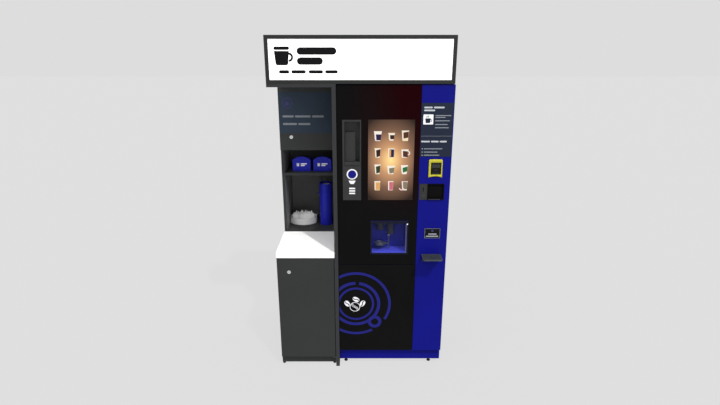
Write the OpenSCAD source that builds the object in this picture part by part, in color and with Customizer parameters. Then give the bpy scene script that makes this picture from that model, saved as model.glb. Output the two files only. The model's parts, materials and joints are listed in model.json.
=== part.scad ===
// Hot coffee vending kiosk: a bean-to-cup vending machine beside a condiment cabinet, under a lit header.
// Millimetres. X runs left to right as the customer sees it, Y runs from the customer to the back, Z runs up.
// The origin lies on the floor at the middle of the footprint.

/* [Kiosk] */
// Width of cabinet and machine together
kiosk_w = 1044; // [1034:1:1054]
// Depth from the cup shelf's front edge to the machine's back
kiosk_d = 834; // [826:1:850]
// Height to the top of the header
kiosk_h = 2079; // [2040:1:2120]
// Height of the machine's roof and of the cabinet's top board
body_h = 1824; // [1822:1:1828]

/* [Header] */
// Depth of the header box
header_d = 240; // [200:1:300]
// Width of the dark rim round the lit face
header_rim = 20; // [14:1:26]

/* [Cabinet] */
// Thickness of the tall panel between cabinet and machine
divider_t = 23; // [20:1:25]
// Thickness of the other boards
board_t = 18; // [16:1:18]
// Thickness of both cabinet doors
leaf_t = 20; // [18:1:20]
// Depth of the white worktop
worktop_d = 359; // [350:1:362]
// Thickness of the white worktop
worktop_t = 36; // [30:1:38]
// Height of the worktop's upper face
worktop_z = 817; // [810:1:825]
// Height of the niche shelf's underside
shelf_z = 1204; // [1190:1:1220]
// Height of the niche ceiling
cupboard_z = 1378; // [1370:1:1385]

/* [Machine] */
// Width of the machine
machine_w = 662; // [660:1:664]
// Distance of the machine's front behind the cabinet's front
machine_back_set = 8; // [6:1:10]
// Thickness of the door's frame behind its outer skin
door_t = 52; // [48:1:54]
// Thickness of the door's outer skin
skin_t = 6; // [5:1:6]
// Width of the payment column at the right of the door
column_w = 185; // [183:1:187]
// Height of the blue base's upper edge
base_top = 114; // [108:1:118]
// Height of the joint between the glass and the lower panel
split_z = 735; // [730:1:740]

/* [Door features] */
// Width of the touch screen
screen_w = 264; // [258:1:268]
// Height of the touch screen
screen_h = 474; // [466:1:478]
// Height of the lower edge of the screen and the cup bay
screen_z = 1153; // [1148:1:1158]
// Width of the delivery opening
bay_w = 211; // [200:1:215]
// Height of the delivery opening
bay_h = 190; // [180:1:195]
// Depth of the delivery opening
bay_d = 101; // [90:1:110]
// Reach of the cup shelf in front of the cabinet's front
shelf_reach = 89; // [80:1:95]

/* [Hidden] */
$fn = 64;

// Colours
dark_grey = [0.22, 0.23, 0.23];
deep_blue = [0.09, 0.11, 0.50];
black_gloss = [0.08, 0.08, 0.09];
steel = [0.62, 0.63, 0.65];
white = [0.95, 0.95, 0.94];

// Main planes
x_left = -kiosk_w / 2;
x_right = kiosk_w / 2;
y_front = -kiosk_d / 2 + shelf_reach;
y_back = kiosk_d / 2;
machine_x = x_right - machine_w;
divider_x = machine_x - divider_t;
inner_x = x_left + board_t;
cabinet_back_y = y_front + 728;
board_back_y = cabinet_back_y - board_t;
top_board_z = body_h - board_t;

// Fits: a running fit between turning parts, and the gap left round a door
run = 0.05;
gap = 2;

// Cabinet doors, each on two pivot pins near the divider
pivot_r = 4;
pivot_x = divider_x - gap - leaf_t / 2;
lower_leaf_y = y_front;
upper_leaf_y = y_front + worktop_d;
carcass_front = y_front + leaf_t + 3;
niche_front = upper_leaf_y + leaf_t + 3;
plinth_top = 71;
foot_h = 13;
foot_r = 9.5;
plinth_set = 30;
lower_leaf_z = [plinth_top + gap, worktop_z - worktop_t - gap];
upper_leaf_z = [cupboard_z + gap, top_board_z - gap];
pin_reach = 16;
bracket_t = 6;

// Cam locks
lock_x = x_left + 76;
lower_lock_z = 687;
upper_lock_z = 1465;
lock_rim_r = 11.5;
lock_body_r = 9;
lock_plug_r = 5;
lock_proud = 2.5;
cam_y = leaf_t + 6.5;
cam_t = 3;
cam_l = 50;

// Machine door
door_y = y_front + machine_back_set;
frame_y = door_y + skin_t;
door_back = frame_y + door_t;
shell_y = door_back + 4;
door_x = machine_x + gap;
door_z = [base_top + 4, body_h - 4];
column_x = x_right - column_w;
sheet_t = 2.5;
hinge_r = 5;
hinge_round = 10;
hinge_x = x_right - hinge_round;
hinge_y = door_back - hinge_round;
hinge_reach = 25;
stile_w = 25;
mullion = [column_x - 8, column_x + 8];

// Door features
cup_x = [machine_x + 33, machine_x + 141];
cup_z = [screen_z, screen_z + screen_h];
cup_window_x = [cup_x[0] + 12, cup_x[1] - 8];
cup_window_z = [cup_z[1] - 245, cup_z[1] - 10];
cup_window_back = door_y + 48;
button_x = (cup_x[0] + cup_x[1]) / 2 + 1;
button_z = screen_z + 158;
button_r = 23;
screen_x = machine_x + 180;
bay_x = machine_x + 206;
bay_z = 815;
bay_wall = 3;
bay_door_axis = [bay_x + 4, door_y + 2];
bay_door_r = 3;
bay_pin_r = 1.8;
reader_x = [column_x + 58, column_x + 131];
reader_z = [1296, 1397];
coin_x = [column_x + 5, column_x + 52];
coin_cup_x = [coin_x[1], coin_x[1] + 100];
coin_z = [1155, 1253];
coin_button_z = coin_z[0] + 24;
coin_button_r = 7;
coin_cup_back = door_y + 90;
flap_axis = [door_y + 9, coin_z[1] - 11];
flap_r = 3;
flap_pin_r = 1.8;
cup_shelf_x = [column_x + 33, column_x + 152];
cup_shelf_z = 806;

// Works inside the machine
deck_z = 1050;
deck_y = y_front + 170;
turret_at = [machine_x + 140, y_front + 310];
turret_z = 1292;
turret_r = 120;
turret_h = 400;
spindle_r = 8;
brew_x = x_right - 205;
brew_y = y_front + 300;
bowl_top = deck_z + 246;

// A box between two X, two Y and two Z values
module block(x, y, z) {
  translate([x[0], y[0], z[0]]) cube([x[1] - x[0], y[1] - y[0], z[1] - z[0]]);
}

// An upright rod, and a rod lying along Y or X
module rod(x, y, z, r) {
  translate([x, y, z[0]]) cylinder(h = z[1] - z[0], r = r);
}
module rod_y(x, y, z, r) {
  translate([x, y[0], z]) rotate([-90, 0, 0]) cylinder(h = y[1] - y[0], r = r);
}
module rod_x(x, y, z, r) {
  translate([x[0], y, z]) rotate([0, 90, 0]) cylinder(h = x[1] - x[0], r = r);
}

// An open-topped box with equal walls
module open_box(x, y, z, wall) {
  difference() {
    block(x, y, z);
    block([x[0] + wall, x[1] - wall], [y[0] + wall, y[1] - wall], [z[0] + wall, z[1] + 1]);
  }
}

// ---- Condiment cabinet ----

module divider_panel() {
  color(dark_grey) block([divider_x, machine_x], [y_front, cabinet_back_y], [0, top_board_z]);
}

// One board: deep below the worktop, set back beside the niche
module left_side_panel() {
  outline = [
    [carcass_front, plinth_top], [cabinet_back_y, plinth_top], [cabinet_back_y, top_board_z],
    [niche_front, top_board_z], [niche_front, worktop_z], [upper_leaf_y, worktop_z],
    [upper_leaf_y, worktop_z - worktop_t], [carcass_front, worktop_z - worktop_t]
  ];
  color(dark_grey) translate([x_left, 0, 0]) rotate([90, 0, 90]) linear_extrude(board_t) polygon(outline);
}

// Plinth frame with the cabinet's floor on it
module cabinet_base() {
  plinth_y = [y_front + plinth_set, cabinet_back_y];
  rail_t = 22;
  color(dark_grey) difference() {
    union() {
      block([x_left, divider_x], plinth_y, [foot_h, plinth_top]);
      block([inner_x, divider_x], [carcass_front, cabinet_back_y], [plinth_top, plinth_top + board_t]);
    }
    block([x_left + rail_t, divider_x - rail_t], [plinth_y[0] + rail_t, plinth_y[1] - rail_t], [0, plinth_top]);
  }
}

module cabinet_back() {
  color(dark_grey)
    block([inner_x, divider_x], [board_back_y, cabinet_back_y], [plinth_top + board_t, top_board_z]);
}

module worktop() {
  color(white) difference() {
    block([x_left, divider_x], [y_front, upper_leaf_y], [worktop_z - worktop_t, worktop_z]);
    rod(pivot_x, lower_leaf_y + leaf_t / 2, [worktop_z - worktop_t - 1, worktop_z - worktop_t + pin_reach], pivot_r);
  }
}

// Storage shelf, niche floor, niche shelf and cupboard floor
module shelf_boards() {
  fronts = [carcass_front + 60, upper_leaf_y, niche_front, niche_front];
  undersides = [420, worktop_z - board_t, shelf_z, cupboard_z];
  color(dark_grey) for (i = [0:3])
    block([inner_x, divider_x], [fronts[i], board_back_y], [undersides[i], undersides[i] + board_t]);
}

module top_board() {
  color(dark_grey) difference() {
    block([x_left, machine_x], [y_front, cabinet_back_y], [top_board_z, body_h]);
    rod(pivot_x, upper_leaf_y + leaf_t / 2, [top_board_z - 1, top_board_z + 12], pivot_r);
  }
}

module cabinet_feet() {
  color(black_gloss)
    for (x = [x_left + 10, divider_x - 12])
      for (y = [y_front + 41, cabinet_back_y - 30])
        rod(x, y, [0, foot_h], foot_r);
}

// Angle under a door's lower pivot, screwed to the divider
module pivot_bracket(leaf_y, z) {
  difference() {
    union() {
      block([pivot_x - 12, divider_x], [leaf_y, leaf_y + leaf_t], [z - bracket_t, z]);
      block([divider_x - 3, divider_x], [leaf_y, leaf_y + leaf_t], [z - 36, z - bracket_t]);
    }
    rod(pivot_x, leaf_y + leaf_t / 2, [z - bracket_t - 1, z + 1], pivot_r);
  }
}

// Plate that the turned cam reaches behind
module lock_keeper(leaf_y, z) {
  block([inner_x, inner_x + 26], [leaf_y + cam_y - 3.5, leaf_y + cam_y - 0.5], [z - 8, z + 8]);
  block([inner_x, inner_x + 3], [leaf_y + cam_y - 0.5, leaf_y + cam_y + 20], [z + 9, z + 25]);
  block([inner_x, inner_x + 3], [leaf_y + cam_y - 3.5, leaf_y + cam_y + 20], [z + 8, z + 9]);
}

module door_brackets() {
  color(steel) {
    pivot_bracket(lower_leaf_y, lower_leaf_z[0] - gap);
    pivot_bracket(upper_leaf_y, upper_leaf_z[0] - gap);
    lock_keeper(lower_leaf_y, lower_lock_z);
    lock_keeper(upper_leaf_y, upper_lock_z);
  }
}

module pivot_pins() {
  color(steel) {
    rod(pivot_x, lower_leaf_y + leaf_t / 2, [lower_leaf_z[0] - gap - bracket_t, lower_leaf_z[0] + pin_reach], pivot_r);
    rod(pivot_x, lower_leaf_y + leaf_t / 2, [lower_leaf_z[1] - pin_reach, lower_leaf_z[1] + pin_reach], pivot_r);
    rod(pivot_x, upper_leaf_y + leaf_t / 2, [upper_leaf_z[0] - gap - bracket_t, upper_leaf_z[0] + pin_reach], pivot_r);
    rod(pivot_x, upper_leaf_y + leaf_t / 2, [upper_leaf_z[1] - pin_reach, upper_leaf_z[1] + 12], pivot_r);
  }
}

// A door leaf: round at its pivot edge, bored for its pins and its lock
module leaf(y, z, lock_z) {
  difference() {
    union() {
      block([x_left + gap, pivot_x], [y, y + leaf_t], z);
      rod(pivot_x, y + leaf_t / 2, z, leaf_t / 2);
    }
    rod(pivot_x, y + leaf_t / 2, [z[0] - 1, z[0] + pin_reach + 1], pivot_r + run);
    rod(pivot_x, y + leaf_t / 2, [z[1] - pin_reach - 1, z[1] + 1], pivot_r + run);
    rod_y(lock_x, [y - 1, y + leaf_t + 1], lock_z, lock_body_r);
  }
}

// Outer barrel of a cam lock: its rim sits on the leaf's face
module lock_barrel(y, z) {
  difference() {
    union() {
      rod_y(lock_x, [y - lock_proud, y], z, lock_rim_r);
      rod_y(lock_x, [y, y + cam_y - 0.5], z, lock_body_r);
    }
    rod_y(lock_x, [y - lock_proud - 1, y + cam_y], z, lock_plug_r + run);
  }
}

// Turning plug with its key slot, and the cam on its end
module lock_cam(y, z) {
  difference() {
    rod_y(lock_x, [y - lock_proud, y + cam_y], z, lock_plug_r);
    block([lock_x - 0.7, lock_x + 0.7], [y - lock_proud - 1, y + 6], [z - 3.4, z + 3.4]);
  }
  block([lock_x - 8, lock_x + 8], [y + cam_y, y + cam_y + cam_t], [z - cam_l, z + 8]);
}

module lower_door() { color(dark_grey) leaf(lower_leaf_y, lower_leaf_z, lower_lock_z); }
module lower_lock_barrel() { color(steel) lock_barrel(lower_leaf_y, lower_lock_z); }
module lower_lock_cam() { color(steel) lock_cam(lower_leaf_y, lower_lock_z); }
module upper_door() { color(dark_grey) leaf(upper_leaf_y, upper_leaf_z, upper_lock_z); }
module upper_lock_barrel() { color(steel) lock_barrel(upper_leaf_y, upper_lock_z); }
module upper_lock_cam() { color(steel) lock_cam(upper_leaf_y, upper_lock_z); }

// A lid bin: a low tray behind an arched front
module lid_bin(x, y, z) {
  bin_w = 121;
  bin_d = 130;
  side_h = 66;
  crown_h = 100;
  crown_r = 86;
  wall = 3;
  translate([x, y, z]) {
    rotate([90, 0, 0]) translate([0, 0, -wall]) linear_extrude(wall) intersection() {
      translate([-bin_w / 2, 0]) square([bin_w, crown_h]);
      translate([0, crown_h - crown_r]) circle(crown_r);
    }
    open_box([-bin_w / 2, bin_w / 2], [wall, bin_d], [0, side_h], wall);
  }
}

module lid_bins() {
  color(deep_blue) for (x = [x_left + 126, x_left + 264.5])
    lid_bin(x, y_front + 430, shelf_z + board_t);
}

// Tall open tube for cups, standing on the niche floor
tube_at = [x_left + 278, y_front + 523];
tube_r = 44;
tube_h = 300;
module cup_tube() {
  color(deep_blue) difference() {
    rod(tube_at[0], tube_at[1], [worktop_z, worktop_z + tube_h], tube_r);
    rod(tube_at[0], tube_at[1], [worktop_z + 3, worktop_z + tube_h + 1], tube_r - 3);
  }
}

// Strap hung from the shelf, with a ring round the tube
module tube_bracket() {
  ring_z = [worktop_z + 214, worktop_z + 228];
  strap_y = tube_at[1] + tube_r + 3;
  color(steel) {
    block([tube_at[0] - 40, tube_at[0] - 22], [strap_y, strap_y + 3], [ring_z[0], shelf_z]);
    block([tube_at[0] - 40, tube_at[0] + 6], [strap_y - 1.5, strap_y], ring_z);
    block([tube_at[0] - 74, tube_at[0] - 45.5], [tube_at[1] - 3, tube_at[1] + 3], ring_z);
    difference() {
      rod(tube_at[0], tube_at[1], ring_z, tube_r + 2.8);
      rod(tube_at[0], tube_at[1], [ring_z[0] - 1, ring_z[1] + 1], tube_r + 0.3);
    }
  }
}

// Bow-fronted tray for sachets
holder_at = [x_left + 113.5, y_front + 593];
holder_r = 112;
holder_w = 183;
holder_h = 44;
module holder_outline(inset) {
  intersection() {
    circle(holder_r - inset);
    translate([-holder_w / 2 + inset, -holder_r]) square([holder_w - 2 * inset, holder_r - inset]);
  }
}
module sachet_holder() {
  color(white) translate([holder_at[0], holder_at[1], worktop_z]) difference() {
    linear_extrude(holder_h) holder_outline(0);
    translate([0, 0, 3]) linear_extrude(holder_h) holder_outline(3);
  }
}

// Paper sachets standing in rows in their tray
module sachets() {
  sachet_w = 36;
  sachet_t = 9;
  color(white) for (row = [0:3])
    for (i = [0:3])
      translate([holder_at[0] + (i - 1.5) * 40 - sachet_w / 2, holder_at[1] - 22 - row * 16, worktop_z + 3])
        cube([sachet_w, sachet_t, 74 + 9 * ((2 * row + 3 * i) % 3) / 2]);
}

// ---- Header ----

face_x = [x_left + header_rim, x_right - 5 - header_rim];
face_z = [body_h + header_rim, kiosk_h - header_rim];
module header_case() {
  wall = 4;
  ledge = 8;
  rebate = 10;
  color(dark_grey) difference() {
    block([x_left, x_right - 5], [y_front, y_front + header_d], [body_h, kiosk_h]);
    block(face_x, [y_front - 1, y_front + rebate], face_z);
    block(
      [face_x[0] + ledge, face_x[1] - ledge], [y_front, y_front + 20], [face_z[0] + ledge, face_z[1] - ledge]
    );
    block(
      [x_left + wall, x_right - 5 - wall], [y_front + 16, y_front + header_d - wall], [body_h + wall, kiosk_h - wall]
    );
  }
}

module header_face() {
  color(white) block([face_x[0] + 0.5, face_x[1] - 0.5], [y_front + 4, y_front + 10], [face_z[0] + 0.5, face_z[1] - 0.5]);
}

// Three strips of lights on the header's back wall
module header_lights() {
  strip_h = 12;
  strip_y = y_front + header_d - 4;
  color(white) for (i = [0:2])
    block([face_x[0] + 20, face_x[1] - 20], [strip_y - 8, strip_y], [body_h + 50 + i * 72, body_h + 50 + i * 72 + strip_h]);
}

// ---- Machine shell ----

inlet_x = [machine_x + 70, machine_x + 150];
inlet_z = [220, 300];
inlet_depth = 50;
shell_back = y_back - sheet_t;

// Sheet side with folded edges at the front and the back
module side_sheet(x_out, side) {
  flange = 20;
  x_in = x_out + side * sheet_t;
  x_flange = x_out + side * flange;
  z = [base_top, body_h - sheet_t];
  block([min(x_out, x_in), max(x_out, x_in)], [shell_y, shell_back], z);
  block([min(x_in, x_flange), max(x_in, x_flange)], [shell_y, shell_y + sheet_t], z);
  block([min(x_in, x_flange), max(x_in, x_flange)], [shell_back - sheet_t, shell_back], z);
}

module machine_sides() {
  color(deep_blue) {
    side_sheet(machine_x, 1);
    side_sheet(x_right, -1);
  }
}

module machine_roof() {
  color(deep_blue) block([machine_x, x_right], [shell_y, y_back], [body_h - sheet_t, body_h]);
}

// Back sheet with louvres and a pocket for the water inlet
module machine_back() {
  slot_w = 150;
  slot_h = 6;
  slot_pitch = 18;
  color(deep_blue) difference() {
    union() {
      block([machine_x, x_right], [shell_back, y_back], [base_top, body_h - sheet_t]);
      block(
        [inlet_x[0] - sheet_t, inlet_x[1] + sheet_t], [y_back - inlet_depth - sheet_t, shell_back],
        [inlet_z[0] - sheet_t, inlet_z[1] + sheet_t]
      );
    }
    block(inlet_x, [y_back - inlet_depth, y_back + 1], inlet_z);
    for (x = [machine_x + 90, x_right - 90 - slot_w])
      for (i = [0:9])
        block([x, x + slot_w], [shell_back - 1, y_back + 1], [1450 + i * slot_pitch, 1450 + i * slot_pitch + slot_h]);
  }
}

// Set-back base tray with the machine's floor
module machine_base() {
  foot_top = 32;
  front = door_y + 30;
  color(deep_blue) difference() {
    block([machine_x, x_right], [front, y_back], [foot_top, base_top]);
    block(
      [machine_x + sheet_t, x_right - sheet_t], [front + sheet_t, shell_back], [foot_top + 3, base_top - sheet_t]
    );
    block([machine_x + 200, x_right - 200], [y_front + 300, y_back - 200], [foot_top - 1, foot_top + 4]);
  }
}

module machine_feet() {
  color(black_gloss)
    for (x = [machine_x + 40, x_right - 67])
      for (y = [door_y + 58, y_back - 60]) {
        rod(x, y, [0, 9], 12);
        rod(x, y, [9, 32], 9);
      }
}

// Pin plates above and below the door's hinge edge
module hinge_brackets() {
  plate_x = [x_right - 34, x_right];
  plate_y = [hinge_y - 12, shell_y];
  color(steel) {
    block(plate_x, [plate_y[0], shell_y - 0.5], [base_top, base_top + sheet_t]);
    rod(hinge_x, hinge_y, [base_top + sheet_t, door_z[0] + hinge_reach - 3], hinge_r);
    block(plate_x, plate_y, [body_h - sheet_t, body_h]);
    rod(hinge_x, hinge_y, [door_z[1] - hinge_reach + 3, body_h - sheet_t], hinge_r);
  }
}

// ---- Works inside ----

// Deck across the machine, with the turret's pedestal and spindle
module equipment_deck() {
  x_in = [machine_x + sheet_t, x_right - sheet_t];
  color(steel) {
    block(x_in, [deck_y, shell_back - sheet_t], [deck_z - 3, deck_z]);
    block(x_in, [deck_y, deck_y + 3], [deck_z - 30, deck_z - 3]);
    rod(turret_at[0], turret_at[1], [deck_z, turret_z - 12], 22);
    rod(turret_at[0], turret_at[1], [turret_z - 12, turret_z - 2], 50);
    rod(turret_at[0], turret_at[1], [turret_z - 2, turret_z + 30], spindle_r);
  }
}

// Five cup columns on a turning plate
module cup_turret() {
  column_r = 42;
  ring_r = 74;
  plate_h = 8;
  color([0.85, 0.85, 0.86]) difference() {
    union() {
      rod(turret_at[0], turret_at[1], [turret_z, turret_z + plate_h], turret_r);
      rod(turret_at[0], turret_at[1], [turret_z + plate_h, turret_z + 34], 20);
      for (i = [0:4]) {
        angle = 90 + i * 72;
        x = turret_at[0] + ring_r * cos(angle);
        y = turret_at[1] + ring_r * sin(angle);
        rod(x, y, [turret_z + plate_h, turret_z + turret_h], column_r);
      }
    }
    rod(turret_at[0], turret_at[1], [turret_z - 1, turret_z + 31], spindle_r + run);
  }
}

// Funnel-shaped hopper with a flat lid
module bean_hopper() {
  x = [brew_x - 20, brew_x + 180];
  y = [brew_y - 20, brew_y + 220];
  neck_x = [brew_x + 45, brew_x + 115];
  neck_y = [brew_y + 65, brew_y + 135];
  hopper_z = [deck_z + 452, deck_z + 700];
  color([0.55, 0.50, 0.45]) {
    hull() {
      block(neck_x, neck_y, [hopper_z[0], hopper_z[0] + 1]);
      block(x, y, [hopper_z[0] + 110, hopper_z[0] + 111]);
    }
    block(x, y, [hopper_z[0] + 111, hopper_z[1] - 8]);
    block([x[0] - 4, x[1] + 4], [y[0] - 4, y[1] + 4], [hopper_z[1] - 8, hopper_z[1]]);
  }
}

// Grinder with its motor can and chute
module grinder() {
  z = deck_z + 282;
  color(steel) {
    block([brew_x + 30, brew_x + 130], [brew_y + 50, brew_y + 150], [z, z + 90]);
    rod(brew_x + 80, brew_y + 100, [z + 90, z + 170], 48);
  }
}

// Brew unit: a frame, a brew chamber and an outlet
module brew_unit() {
  color([0.15, 0.15, 0.16]) {
    block([brew_x, brew_x + 160], [brew_y + 30, brew_y + 170], [deck_z, deck_z + 60]);
    rod(brew_x + 80, brew_y + 100, [deck_z + 60, deck_z + 230], 45);
    block([brew_x + 20, brew_x + 140], [brew_y + 60, brew_y + 140], [deck_z + 230, deck_z + 282]);
    rod_y(brew_x + 80, [brew_y, brew_y + 30], deck_z + 30, 12);
  }
}

// Upright boiler with two pipe unions
module boiler() {
  at = [machine_x + 400, y_front + 640];
  color(steel) {
    rod(at[0], at[1], [deck_z, deck_z + 280], 55);
    rod(at[0] - 25, at[1], [deck_z + 280, deck_z + 305], 8);
    rod(at[0] + 25, at[1], [deck_z + 280, deck_z + 305], 8);
  }
}

// Four powder canisters in a row, each over its mixing bowl
function canister_x(i) = machine_x + 18 + i * 82;
canister_w = 76;
canister_y = [y_front + 470, y_front + 700];
module powder_canisters() {
  color([0.86, 0.87, 0.88]) for (i = [0:3]) {
    x = canister_x(i);
    block([x, x + canister_w], canister_y, [bowl_top, bowl_top + 250]);
    block([x - 1, x + canister_w + 1], [canister_y[0] - 2, canister_y[1]], [bowl_top + 250, bowl_top + 262]);
    rod_y(x + canister_w / 2, [canister_y[0] - 28, canister_y[0]], bowl_top + 30, 18);
  }
}

module mixing_bowls() {
  color([0.20, 0.20, 0.21]) for (i = [0:3]) {
    x = canister_x(i) + canister_w / 2;
    rod(x, canister_y[0] + 60, [deck_z + 40, deck_z + 150], 32);
    block([x - 30, x + 30], [canister_y[0] + 30, canister_y[1] - 20], [deck_z, deck_z + 40]);
    block([x - 30, x + 30], [canister_y[0] + 110, canister_y[1] - 20], [deck_z + 40, bowl_top]);
  }
}

// Bucket for spent grounds and waste water
bucket_x = [machine_x + 60, machine_x + 380];
bucket_y = [y_front + 130, y_front + 410];
bucket_h = 320;
module waste_bucket() {
  color([0.20, 0.20, 0.21]) open_box(bucket_x, bucket_y, [base_top, base_top + bucket_h], 4);
}

// Power and control box on the back wall
module control_box() {
  color(steel) {
    block([x_right - 205, x_right - 25], [y_front + 640, shell_back - sheet_t], [deck_z, deck_z + 420]);
    block([x_right - 195, x_right - 35], [y_front + 634, y_front + 640], [deck_z + 20, deck_z + 400]);
  }
}

// Water valve in its pocket, with a three-quarter inch hose thread
inlet_r = 13.2;
module water_inlet() {
  x = (inlet_x[0] + inlet_x[1]) / 2;
  z = (inlet_z[0] + inlet_z[1]) / 2;
  wall_y = y_back - inlet_depth;
  color([0.75, 0.62, 0.30]) {
    rod_y(x, [wall_y, wall_y + 12], z, 20);
    rod_y(x, [wall_y + 12, wall_y + 18], z, 9);
    rod_y(x, [wall_y + 18, wall_y + 34], z, inlet_r);
  }
}

// ---- Machine door ----

// Welded door frame, bored for its hinge pins at a rounded corner
module door_frame() {
  bore = hinge_r + run;
  opening_y = [frame_y - 1, door_back + 1];
  low = door_z[0] + 27;
  high = door_z[1] - 25;
  left_x = [door_x + stile_w, mullion[0]];
  right_x = [mullion[1], x_right - stile_w];
  color(deep_blue) difference() {
    union() {
      block([door_x, x_right], [frame_y, hinge_y], door_z);
      block([door_x, hinge_x], [hinge_y, door_back], door_z);
      rod(hinge_x, hinge_y, door_z, hinge_round);
    }
    block(left_x, opening_y, [low, split_z - 15]);
    block(left_x, opening_y, [split_z + 15, bay_z + bay_h + 45]);
    block(left_x, opening_y, [screen_z - 43, high]);
    block(right_x, opening_y, [low, coin_z[0] - 25]);
    block(right_x, opening_y, [coin_z[0] - 5, coin_z[1] + 5]);
    block(right_x, opening_y, [coin_z[1] + 25, high]);
    rod(hinge_x, hinge_y, [door_z[0] - 1, door_z[0] + hinge_reach], bore);
    rod(hinge_x, hinge_y, [door_z[1] - hinge_reach, door_z[1] + 1], bore);
  }
}

// Black glass with cut-outs for the cup bay, the screen and the delivery bay
module glass_fascia() {
  cut_y = [door_y - 1, frame_y + 1];
  color(black_gloss) difference() {
    block([door_x, column_x - 0.5], [door_y, frame_y], [split_z + 1.5, door_z[1]]);
    block(cup_x, cut_y, cup_z);
    block([screen_x, screen_x + screen_w + 1], cut_y, [screen_z, screen_z + screen_h + 1]);
    block([bay_x - 9, bay_x + bay_w + 9], cut_y, [bay_z - 12, bay_z + bay_h + 17]);
  }
}

module lower_panel() {
  color(black_gloss) block([door_x, column_x - 0.5], [door_y, frame_y], [door_z[0], split_z - 1.5]);
}

module column_panel() {
  cut_y = [door_y - 1, frame_y + 1];
  color(deep_blue) difference() {
    block([column_x + 0.5, x_right], [door_y, frame_y], door_z);
    block(reader_x, cut_y, reader_z);
    block([coin_x[0], coin_cup_x[1]], cut_y, coin_z);
  }
}

// Screen glass with its housing behind
module touch_screen() {
  x = [screen_x + 0.5, screen_x + 0.5 + screen_w];
  z = [screen_z + 0.5, screen_z + 0.5 + screen_h];
  color([0.45, 0.36, 0.25]) block(x, [door_y, frame_y], z);
  color(black_gloss) block([x[0] + 8, x[1] - 8], [frame_y, frame_y + 34], [z[0] + 8, z[1] - 8]);
}

// Cup bay: face plate, deep window with a lip, and the button's hole
module cup_bay() {
  plate_y = [door_y - 3, frame_y];
  liner_x = [cup_window_x[0] - 3, cup_window_x[1] + 3];
  liner_z = [cup_window_z[0] - 3, cup_window_z[1] + 3];
  color([0.33, 0.33, 0.34]) difference() {
    union() {
      block([cup_x[0] + 0.3, cup_x[1] - 0.3], plate_y, [cup_z[0] + 0.3, cup_z[1] - 0.3]);
      block(liner_x, [frame_y, cup_window_back + 3], liner_z);
      block(cup_window_x, [plate_y[0] - 5, plate_y[0]], [cup_window_z[0] - 15, cup_window_z[0]]);
    }
    block(cup_window_x, [plate_y[0] - 1, cup_window_back], cup_window_z);
    rod_y(button_x, [plate_y[0] - 1, frame_y + 1], button_z, button_r);
  }
}

// Push button with a flange behind the plate
module start_button() {
  color(deep_blue) {
    rod_y(button_x, [door_y - 7, frame_y + 0.4], button_z, button_r - 0.08);
    rod_y(button_x, [frame_y + 0.4, frame_y + 4], button_z, button_r + 4);
  }
}

// Delivery bay: a frame on the glass and a box behind it
module delivery_bay() {
  back = door_y + bay_d;
  outer_x = [bay_x - 8.7, bay_x + bay_w + 8.7];
  outer_z = [bay_z - 11.7, bay_z + bay_h + 16.7];
  color([0.10, 0.11, 0.32]) difference() {
    union() {
      block(outer_x, [door_y - 2, frame_y], outer_z);
      block(
        [bay_x - bay_wall, bay_x + bay_w + bay_wall], [frame_y, back + bay_wall],
        [bay_z - bay_wall, bay_z + bay_h + bay_wall]
      );
    }
    block([bay_x, bay_x + bay_w], [door_y - 3, back], [bay_z, bay_z + bay_h]);
    rod(bay_door_axis[0], bay_door_axis[1], [bay_z - 6, bay_z + bay_h + 6], bay_pin_r + run);
  }
}

// Clear door on moulded pins, with a pull along its free edge
module delivery_door() {
  x_free = bay_x + bay_w - 1;
  y = [bay_door_axis[1] - bay_door_r, bay_door_axis[1] + bay_door_r];
  z = [bay_z + 1, bay_z + bay_h - 1];
  color([0.6, 0.65, 0.8, 0.35]) {
    block([bay_door_axis[0], x_free], y, z);
    rod(bay_door_axis[0], bay_door_axis[1], z, bay_door_r);
    rod(bay_door_axis[0], bay_door_axis[1], [bay_z - 5, bay_z + bay_h + 5], bay_pin_r);
    block([x_free - 7, x_free], [y[0] - 7, y[0]], z);
  }
}

// Post and arm that carry a round cup rest
module cup_stand() {
  post = [bay_x + 105, door_y + 58];
  rest_x = bay_x + 51;
  color([0.35, 0.37, 0.42]) {
    rod(post[0], post[1], [bay_z, bay_z + 96], 4);
    rod(rest_x, post[1], [bay_z + 34, bay_z + 44], 33);
    block([rest_x, post[0] - 3], [post[1] - 5, post[1] + 5], [bay_z + 35, bay_z + 43]);
  }
}

// Two outlets under the bay's ceiling
module nozzle_block() {
  y = door_y + 58;
  z_top = bay_z + bay_h;
  color([0.20, 0.21, 0.24]) {
    block([bay_x + 20, bay_x + 150], [y - 30, y + 30], [z_top - 14, z_top]);
    rod(bay_x + 51, y, [z_top - 55, z_top - 14], 27);
    rod(bay_x + 116, y, [z_top - 82, z_top - 14], 25);
  }
}

// Printed plates on the payment column
module info_plates() {
  plate_y = [door_y - 1.5, door_y];
  color([0.16, 0.18, 0.24]) {
    block([column_x + 1, x_right - 5], plate_y, [1415, 1721]);
    block([column_x + 47, column_x + 142], plate_y, [910, 974]);
  }
}

// Yellow bezel round the card reader
module reader_bezel() {
  y = [door_y - 8, frame_y];
  color([0.82, 0.72, 0.10]) difference() {
    union() {
      block([reader_x[0] - 3, reader_x[1] + 3], [y[0], door_y], [reader_z[0] - 3, reader_z[1] + 3]);
      block([reader_x[0] + 0.3, reader_x[1] - 0.3], [door_y, frame_y], [reader_z[0] + 0.3, reader_z[1] - 0.3]);
    }
    block([reader_x[0] + 9, reader_x[1] - 4], [y[0] - 1, y[1] + 1], [reader_z[0] + 14, reader_z[1] - 16]);
  }
}

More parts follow.
